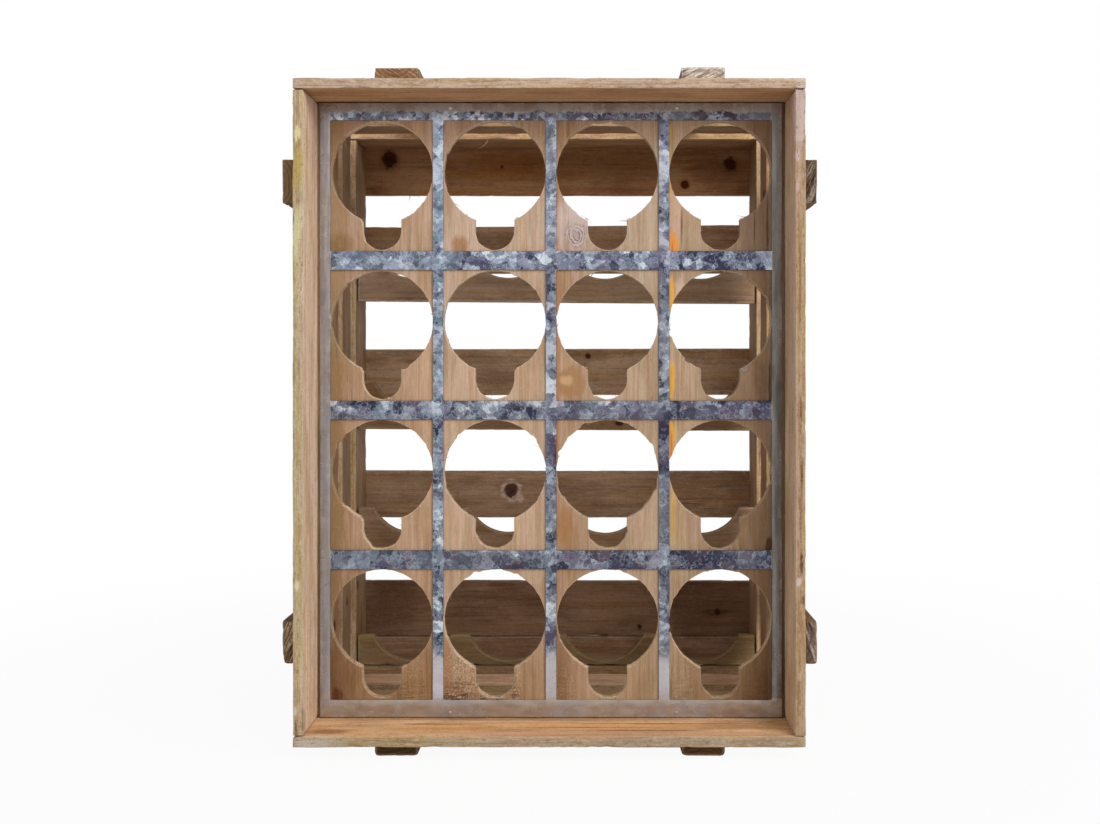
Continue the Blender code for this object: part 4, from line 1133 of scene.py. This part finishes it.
def galvanised(name):
    """Hot-dip zinc. The cells of three Voronoi patterns are its crystals: tone = the sum of their
    random values, a slope across each cell that paints shading as if the crystal were tilted, and
    feathers that run its own way. The tone picks one of four blue greys. The crystals fade towards
    the sheet's smooth borders. Painted shade, painted reflections of the boards and painted
    highlights lie over the crystals."""
    made, shader, place = new_finish(name)
    x, _, z = parts(place)
    swirl = noise(place, 0.0028, 4.0, 0.75).socket.node.outputs["Color"]
    bent = vector(place, "ADD", vector(Wire(swirl), "MULTIPLY", (0.0056, 0.0056, 0.0056)))
    field = bent.add("ShaderNodeTexVoronoi", {}, {"Vector": bent, "Scale": 1.0 / COARSE_CRYSTAL}, "Color")
    large = bent.add("ShaderNodeTexVoronoi", {}, {"Vector": bent, "Scale": 1.0 / CRYSTAL}, "Color")
    small = bent.add("ShaderNodeTexVoronoi", {}, {"Vector": bent, "Scale": 1.0 / FINE_CRYSTAL}, "Color")
    middle = Wire(large.socket.node.outputs["Position"])
    first, second, third = parts(large)
    fourth, fifth, sixth = parts(small)

    # Inside a crystal: a slope of tone across it, painted shading as if it were tilted, and feathers
    # at its own angle
    tilt = vector(large, "SUBTRACT", (0.5, 0.5, 0.5))
    across = vector(vector(bent, "SUBTRACT", middle), "DOT_PRODUCT", tilt, "Value") / CRYSTAL
    spin = {"Vector": bent, "Angle": second * 6.28}
    spun = bent.add("ShaderNodeVectorRotate", {"rotation_type": "Y_AXIS"}, spin)
    feather = noise(spun, 0.0007, 3.0, 0.75, stretch=(1.0, 1.0, 0.22))
    tone = 0.44 + (parts(field)[0] - 0.5) * 0.36 + (first - 0.5) * 0.46 + (fourth - 0.5) * 0.30
    tone = tone + across * 0.22 + (feather - 0.5) * 0.9

    # The crossbars are darker than the uprights, more so lower down, and the sheet darkens to the right:
    # painted shade
    pitch = window_width + UPRIGHT_WIDTH
    beside = x / pitch + 0.5
    beside = beside.math("FRACT", beside) - 0.5
    upright = drop(beside.math("ABSOLUTE", beside) * pitch, 0.0045, 0.0062)
    low_bar = drop(z, 0.20, 0.44)
    tone = tone + upright * 0.04 - (1 - upright) * low_bar * 0.16 - rise(x, -0.1, 0.25) * 0.03
    for left, right, bottom, top, on_upright, on_bar in SHEET_AREAS:
        area = rise(x, left, left + 0.02) * drop(x, right - 0.02, right)
        area = area * rise(z, bottom, bottom + 0.02) * drop(z, top - 0.02, top)
        tone = tone + area * (upright * on_upright + (1 - upright) * on_bar)

    # Smooth borders, whose colours further on hold painted reflections and shade of the crate's inner
    # faces, and the smooth feet of the uprights
    uneven = noise(place, 0.010, 4.0) * 0.008 - 0.004
    side_edge = sheet_high[0] - SIDE_BORDER
    at_side = rise(x.math("ABSOLUTE", x) + uneven * 0.2, side_edge - 0.0010, side_edge + 0.0004)
    at_foot = drop(z + uneven * 0.2, sheet_low[2] + END_BORDER + 0.0004, sheet_low[2] + END_BORDER + 0.0024)
    at_head = rise(z + uneven * 1.3, sheet_high[2] - 0.0090, sheet_high[2] - 0.0065)
    border = at_side.math("MAXIMUM", at_side.math("MAXIMUM", at_side, at_foot), at_head)
    foot = upright * drop(z + uneven * 3.0, 0.070, 0.086)

    # The tone's blue grey, darker and with more contrast in the band under the top edge, which lies in
    # painted shadow of the top board, and casts of mauve, blue and teal over some of the crystals
    top_painted_shade_band = rise(z, sheet_high[2] - 0.018, sheet_high[2] - 0.012)
    tone = tone - top_painted_shade_band * (0.57 - 0.76 * fourth)
    colour = mix(rise(tone, 0.24, 0.34), paint(56, 59, 80), paint(116, 123, 141))
    colour = mix(rise(tone, 0.48, 0.56), colour, paint(158, 168, 185))
    colour = mix(rise(tone, 0.68, 0.75), colour, paint(220, 227, 236))
    colour = mix(rise(second, 0.60, 0.80) * 0.30, colour, paint(134, 124, 152))
    blue = rise(sixth, 0.50, 0.80) * drop(x, -0.20, -0.02) * (0.30 + upright * 0.35)
    colour = mix(blue, colour, paint(124, 164, 182))
    teal = upright * drop(x, -0.090, -0.070) * rise(z, 0.36, 0.46) * rise(fourth, 0.25, 0.60)
    colour = mix(teal * 0.20, colour, paint(150, 190, 204))
    colour = mix(low_bar, colour, (0.99, 0.98, 0.92, 1.0), "MULTIPLY")
    # The band under the top edge: painted brown reflection of the top board and painted shade, darker to the
    # right
    colour = mix(top_painted_shade_band * 0.25, colour, paint(96, 78, 82))
    colour = mix(top_painted_shade_band * rise(x, -0.02, 0.14) * 0.35, colour, paint(70, 52, 50))
    colour = mix(rise(third, 0.66, 0.80) * (1 - upright) * low_bar * 0.30, colour, paint(126, 104, 112))

    # Painted highlights along the seams between fine crystals, duller areas, and the uprights' pale feet
    edges = {"Vector": bent, "Scale": 1.0 / FINE_CRYSTAL}
    seam_highlight = bent.add("ShaderNodeTexVoronoi", {"feature": "DISTANCE_TO_EDGE"}, edges)
    colour = mix(drop(seam_highlight, 0.02, 0.08) * rise(fifth, 0.55, 0.70) * 0.45, colour, paint(216, 224, 232))
    haze = noise(place, 0.045, 4.0, 0.6)
    dull = rise(haze + feather * 0.2, 0.55, 0.80)
    colour = mix(dull * 0.30, colour, paint(150, 160, 166))
    # Painted shade: uprights darker towards the right, low crossbars darker
    dim = upright * rise(x, -0.14, 0.0) * 0.16 + (1 - upright) * low_bar * 0.16
    colour = mix(dim, colour, (0.02, 0.0, 0.01, 1.0))
    foot_colour = mix(rise(x, -0.10, 0.0), paint(196, 190, 196), paint(193, 186, 188))
    colour = mix(foot * 0.85, colour, foot_colour)

    # Smooth zinc, streaked at the sides and darker lower down, darker on the right side as painted
    # shade, brownish grey at the foot and browner at the head as painted reflections of the bottom and
    # top boards, and dark specks
    veil = noise(place, 0.0060, 4.0, 0.6, stretch=(0.35, 1.0, 1.0))
    streak = noise(place, 0.0040, 4.0, 0.65, stretch=(1.0, 1.0, 0.06))
    smooth = mix(rise(streak, 0.38, 0.62), paint(166, 164, 168), paint(198, 192, 188))
    smooth = mix(drop(z, 0.20, 0.52) * 0.40, smooth, paint(128, 123, 118))
    colour = mix(border * 0.85, colour, smooth)
    right_painted_shade = mix(rise(streak, 0.38, 0.62), paint(98, 97, 92), paint(134, 129, 122))
    right_painted_shade = mix(rise(z, 0.38, 0.52) * 0.35, right_painted_shade, paint(156, 147, 142))
    colour = mix(at_side * rise(x, 0.15, 0.19) * 0.90, colour, right_painted_shade)
    foot_painted_reflection = mix(rise(veil, 0.30, 0.70), paint(166, 151, 137), paint(190, 180, 170))
    foot_painted_reflection = mix(rise(noise(place, 0.030, 3.0), 0.50, 0.62) * 0.5, foot_painted_reflection, paint(166, 172, 182))
    colour = mix(at_foot * 0.80, colour, foot_painted_reflection)
    colour = mix(at_head * 0.70, colour, paint(152, 138, 128))
    spot = rise(noise(place, 0.0015, 3.0, 0.7), 0.62, 0.70)
    colour = mix(spot * (1 - border) * 0.65, colour, paint(70, 68, 82))

    shine = 0.22 + third * 0.12 + dull * 0.12 - border * 0.05
    calm = 1 - border.math("MAXIMUM", border, foot) * 0.8
    height = (across * 0.8 + fourth * 0.15) * calm + feather * 0.10
    relief = height.add("ShaderNodeBump", {}, {"Strength": 0.4, "Distance": 0.0002, "Height": height})
    feed(shader, {"Base Color": colour, "Roughness": shine, "Normal": relief,
                  "Metallic": 1.0 - dull * 0.25 - border * 0.30})
    return made


galvanised_steel = galvanised("galvanised_steel")
cells = []
for row in range(4):
    for column in range(4):
        cell_low = np.array([cell_x[column], cell_z[row]])
        cell_high = np.array([cell_x[column + 1], cell_z[row + 1]])
        window_low = np.array([sheet_low[0] + SIDE_BORDER + column * (window_width + UPRIGHT_WIDTH),
                               sheet_low[2] + END_BORDER + row * (window_height + CROSSBAR_HEIGHT)])
        window_high = window_low + (window_width, window_height)
        wide_step, high_step = (cell_high - cell_low) / (40, 48)
        lower_x = side_places(cell_low[0], cell_high[0], wide_step)
        outer, side = cell_outline(cell_low, cell_high, lower_x, lower_x, high_step)
        rise_count = (len(outer) - 2 * (len(lower_x) - 1)) // 2 + 1
        inner = window_outline(window_low, window_high, len(lower_x), rise_count)
        free = (row == 0, column == 3, row == 3, column == 0)
        cells.append(pierced_cell(outer, inner, side, free, sheet_low[1], sheet_high[1], SHEET_SOFT, 4, 2))
sheet_flat, sheet_outward, sheet_faces = join_cells(cells)
buckle = 0.00010 * (1 + lattice_noise(sheet_flat * (1, 0, 1), 0.035, 5))
dents = 0.00004 * (1 + lattice_noise(sheet_flat, 0.006, 7))
sheet_flat = sheet_flat - sheet_outward * dents[:, None]
sheet_flat[:, 1] += buckle
steel_grid = close_piece("dressed_steel_grid", sheet_flat, sheet_faces, {}, galvanised_steel)
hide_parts("steel_grid")


# Nails and pins
# Wire nails hold the planks, the rails, the crate's corners, the battens and the slats: their heads
# lie flush in the wood, dull and a little rusty. Four small pins hold the steel sheet.

NAIL_HEAD_RADIUS = 0.0022
NAIL_SHANK = 0.0011
NAIL_SHOWN = 0.0003
PIN_SHANK = 0.0006
PIN_TIP = 0.0005
CORNER_NAIL_LENGTH = 0.012
BATTEN_NAIL_LENGTH = 0.010
BATTEN_NAIL_ASIDE = 0.008
BATTEN_NAIL_MARGIN = 0.02
SLAT_NAIL_LENGTH = 0.008
HEAD_SIDES = 14


def nail_finish(name, dull, bright, rusty):
    """Scratched steel between a dull and a bright grey, with brown rust in patches. rusty is how
    strong the rust is, up to 1."""
    made, shader, place = new_finish(name)
    rust = rise(noise(place, 0.0016, 4.0, 0.7), 0.42, 0.62) * rusty
    scratches = noise(place, 0.0006, 2.0, stretch=(1.0, 0.2, 1.0))
    colour = mix(rust, mix(scratches, dull, bright), paint(92, 60, 42))
    height = rust * 0.6 + scratches * 0.3
    relief = height.add("ShaderNodeBump", {}, {"Strength": 0.5, "Distance": 0.0001, "Height": height})
    feed(shader, {"Base Color": colour, "Roughness": 0.38 + rust * 0.4,
                  "Metallic": 1.0 - rust * 0.8, "Normal": relief})
    return made


nail_steel = nail_finish("nail_steel", paint(88, 88, 90), paint(150, 150, 152), 1.0)
pin_steel = nail_finish("pin_steel", paint(178, 166, 162), paint(232, 220, 214), 0.15)


def turned_nails(name, heads, direction, length, nodes=(), radius=NAIL_HEAD_RADIUS, shank=NAIL_SHANK,
                 look=nail_steel):
    """Nails alike, turned from one profile: radius against depth below the top of the head, with a
    slightly domed and struck top. heads are the middles of their tops, and direction goes in."""
    profile = np.array([
        (0.0, 0.10), (0.45, 0.04), (0.80, 0.03), (0.95, 0.10), (1.0, 0.22), (0.97, 0.40),
        (shank / radius, 0.46), (shank / radius, length / radius), (0.0, length / radius + 0.5)]) * radius
    turn = np.linspace(0, 2 * np.pi, HEAD_SIDES, endpoint=False)
    direction = np.array(direction, dtype=float)
    first = np.roll(direction, 1)
    second = np.cross(direction, first)
    ring = np.cos(turn)[:, None] * first + np.sin(turn)[:, None] * second
    nail = profile[:, 0, None, None] * ring[None] + profile[:, 1, None, None] * direction
    heads = np.array(heads, dtype=float)
    points = (heads[:, None, None, :] + nail[None]).reshape(-1, 3)
    one = grid_faces(len(profile), HEAD_SIDES)
    faces = (one[None] + np.arange(len(heads))[:, None, None] * len(profile) * HEAD_SIDES).reshape(-1, 4)
    piece = close_piece(name, points, faces, {}, look)
    if nodes:
        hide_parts(*nodes)


# The planks' and rails' nails and the grid's pins, each in its node's place
for node in frame["nodes"]:
    low, high = corners(node)
    head = (low + high) / 2
    if node.startswith(("plank_nail", "rail_nail")):
        axis = 2 if node.startswith("plank_nail") else 0
        inward = np.zeros(3)
        inward[axis] = 1.0 if "_bottom_" in node or "_left_" in node else -1.0
        head[axis] = (high if inward[axis] < 0 else low)[axis] - inward[axis] * NAIL_SHOWN
        turned_nails("dressed_" + node, [head], inward, high[axis] - low[axis], (node,))
    elif node.startswith("grid_pin"):
        head[1] = low[1]
        turned_nails("dressed_" + node, [head], (0, 1, 0), high[1] - low[1] - PIN_TIP, (node,),
                     radius=(high[0] - low[0]) / 2, shank=PIN_SHANK, look=pin_steel)

# The corners: two nails through each end of every top and bottom board
corner_x = (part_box("front_ring_left")[0][0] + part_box("front_ring_left")[1][0]) / 2
for side, inward in (("top", -1), ("bottom", 1)):
    heads = []
    for ring in RINGS:
        low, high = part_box(f"{ring}_ring_{side}")
        level = high[2] if side == "top" else low[2]
        for sign in (-1, 1):
            for share in (0.26, 0.74):
                heads.append((sign * -corner_x, low[1] + share * (high[1] - low[1]), level))
    turned_nails(f"corner_nails_{side}", heads, (0, 0, inward), CORNER_NAIL_LENGTH)

# The battens: one nail into each ring, off the middle by turns
for node in BATTEN_ENDS:
    low, high = corners(node)
    axis = 2 if "_top_" in node or "_bottom_" in node else 0
    other = 2 - axis
    faces_up = node.startswith(("batten_top", "batten_right"))
    outside = high[axis] if faces_up else low[axis]
    inward = np.zeros(3)
    inward[axis] = -1.0 if faces_up else 1.0
    heads = []
    for number, ring in enumerate(RINGS):
        ring_low, ring_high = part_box(f"{ring}_ring_left")
        head = np.zeros(3)
        head[axis] = outside
        aside = BATTEN_NAIL_ASIDE if number % 2 else -BATTEN_NAIL_ASIDE
        head[other] = (low[other] + high[other]) / 2 + aside
        head[1] = np.clip((ring_low[1] + ring_high[1]) / 2, low[1] + BATTEN_NAIL_MARGIN,
                          high[1] - BATTEN_NAIL_MARGIN)
        heads.append(head)
    turned_nails(node.replace("batten", "batten_nails"), heads, inward, BATTEN_NAIL_LENGTH)

# The slats: two nails in each end, and one in each end of the narrow bottom slat
heads = []
for number in range(1, 7):
    low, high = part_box(f"back_slat_{number}")
    for share in ((0.25, 0.75) if number < 6 else (0.5,)):
        for sign in (-1, 1):
            heads.append((sign * -corner_x, high[1], low[2] + share * (high[2] - low[2])))
turned_nails("slat_nails", heads, (0, -1, 0), SLAT_NAIL_LENGTH)


# Floor, backdrop and light
# A pale floor, a white backdrop and one large soft lamp, up to the right in front of the rack.

AMBIENT = 0.34
FRONT_LIGHT = 0.44
KEY_POWER = 40.0
KEY_PLACE = (1.45, -1.75, 1.75)
KEY_SIZE = 1.6
KEY_AIM = (0.0, 0.0, 0.30)
FLOOR_GLOW = 0.94
FLOOR_CORNERS = [(-6, -6, 0), (6, -6, 0), (6, 8, 0), (-6, 8, 0)]


def seen_directly(wire):
    """1 for rays that show the background itself, straight or through a reflection."""
    node = wire.add("ShaderNodeLightPath", {}, {}).socket.node
    camera, glossy, through = (Wire(node.outputs[name]) for name in
                               ("Is Camera Ray", "Is Glossy Ray", "Is Transmission Ray"))
    return camera.math("MAXIMUM", camera.math("MAXIMUM", camera, glossy), through)


floor_mesh = bpy.data.meshes.new("floor")
floor_mesh.from_pydata(FLOOR_CORNERS, [], [(0, 1, 2, 3)])
floor = bpy.data.objects.new("floor", floor_mesh)
bpy.context.collection.objects.link(floor)
floor_paint, floor_shader, floor_place = new_finish("floor_paint")
floor_colour = mix(noise(floor_place, 0.4, 3.0), (0.74, 0.74, 0.74, 1), (0.78, 0.78, 0.78, 1))
feed(floor_shader, {"Base Color": floor_colour})
floor_shader.inputs["Roughness"].default_value = 0.9
floor_shader.inputs["Specular IOR Level"].default_value = 0.1

# Seen directly the floor is nearly all white glow, and wholly so far off. To other rays it is
# plain paint.
far = rise(vector(floor_place, "LENGTH", (0, 0, 0), "Value"), 0.30, 1.10)
share = seen_directly(floor_place) * (FLOOR_GLOW + far * (1.0 - FLOOR_GLOW))
plain = Wire(floor_shader.outputs[0])
glow = share.add("ShaderNodeEmission", {}, {"Strength": 1.0})
floor_look = share.add("ShaderNodeMixShader", {}, {0: share, 1: plain, 2: glow})
feed(floor_paint.node_tree.nodes["Material Output"], {"Surface": floor_look})
floor_mesh.materials.append(floor_paint)

# The backdrop is white where it shows. It lights the rack softly, the front more than the rest.
world = bpy.data.worlds.new("studio")
world.use_nodes = True
bpy.context.scene.world = world
backdrop = world.node_tree.nodes["Background"]
backdrop.inputs["Color"].default_value = (1.0, 1.0, 1.0, 1.0)
direction = Wire(world.node_tree.nodes.new("ShaderNodeTexCoord").outputs["Generated"])
forward = rise(0 - parts(direction)[1], 0.0, 1.0)
soft = AMBIENT + forward * FRONT_LIGHT
seen = seen_directly(soft)
feed(backdrop, {"Strength": soft * (1 - seen) + seen})

lamp = bpy.data.lights.new("key_lamp", "AREA")
lamp.shape = "DISK"
lamp.size = KEY_SIZE
lamp.energy = KEY_POWER
key = bpy.data.objects.new("key_lamp", lamp)
key.location = KEY_PLACE
toward = np.array(KEY_AIM) - np.array(KEY_PLACE)
tilted = np.arccos(-toward[2] / np.linalg.norm(toward))
key.rotation_euler = (tilted, 0.0, np.arctan2(toward[1], toward[0]) - np.pi / 2)
key.visible_glossy = False
bpy.context.collection.objects.link(key)


# Camera
# It stands level in front of the rack, a little above its middle, at the photograph's distance.

PHOTO_WIDTH = 1100
PHOTO_HEIGHT = 824
FOCAL_PIXELS = 1250
CENTRE_PIXEL = (587, 361)   # where the camera's own axis meets the photograph
CAMERA_PLACE = (0.0316, -1.200, 0.336)
camera_data = bpy.data.cameras.new("camera")
camera_data.sensor_width = 36.0
camera_data.lens = FOCAL_PIXELS / PHOTO_WIDTH * camera_data.sensor_width
camera_data.shift_x = (PHOTO_WIDTH / 2 - CENTRE_PIXEL[0]) / PHOTO_WIDTH
camera_data.shift_y = (CENTRE_PIXEL[1] - PHOTO_HEIGHT / 2) / PHOTO_WIDTH
camera = bpy.data.objects.new("camera", camera_data)
camera.location = CAMERA_PLACE
camera.rotation_euler = (np.pi / 2, 0.0, 0.0)
bpy.context.collection.objects.link(camera)
bpy.context.scene.camera = camera
bpy.context.scene.view_settings.view_transform = "Standard"
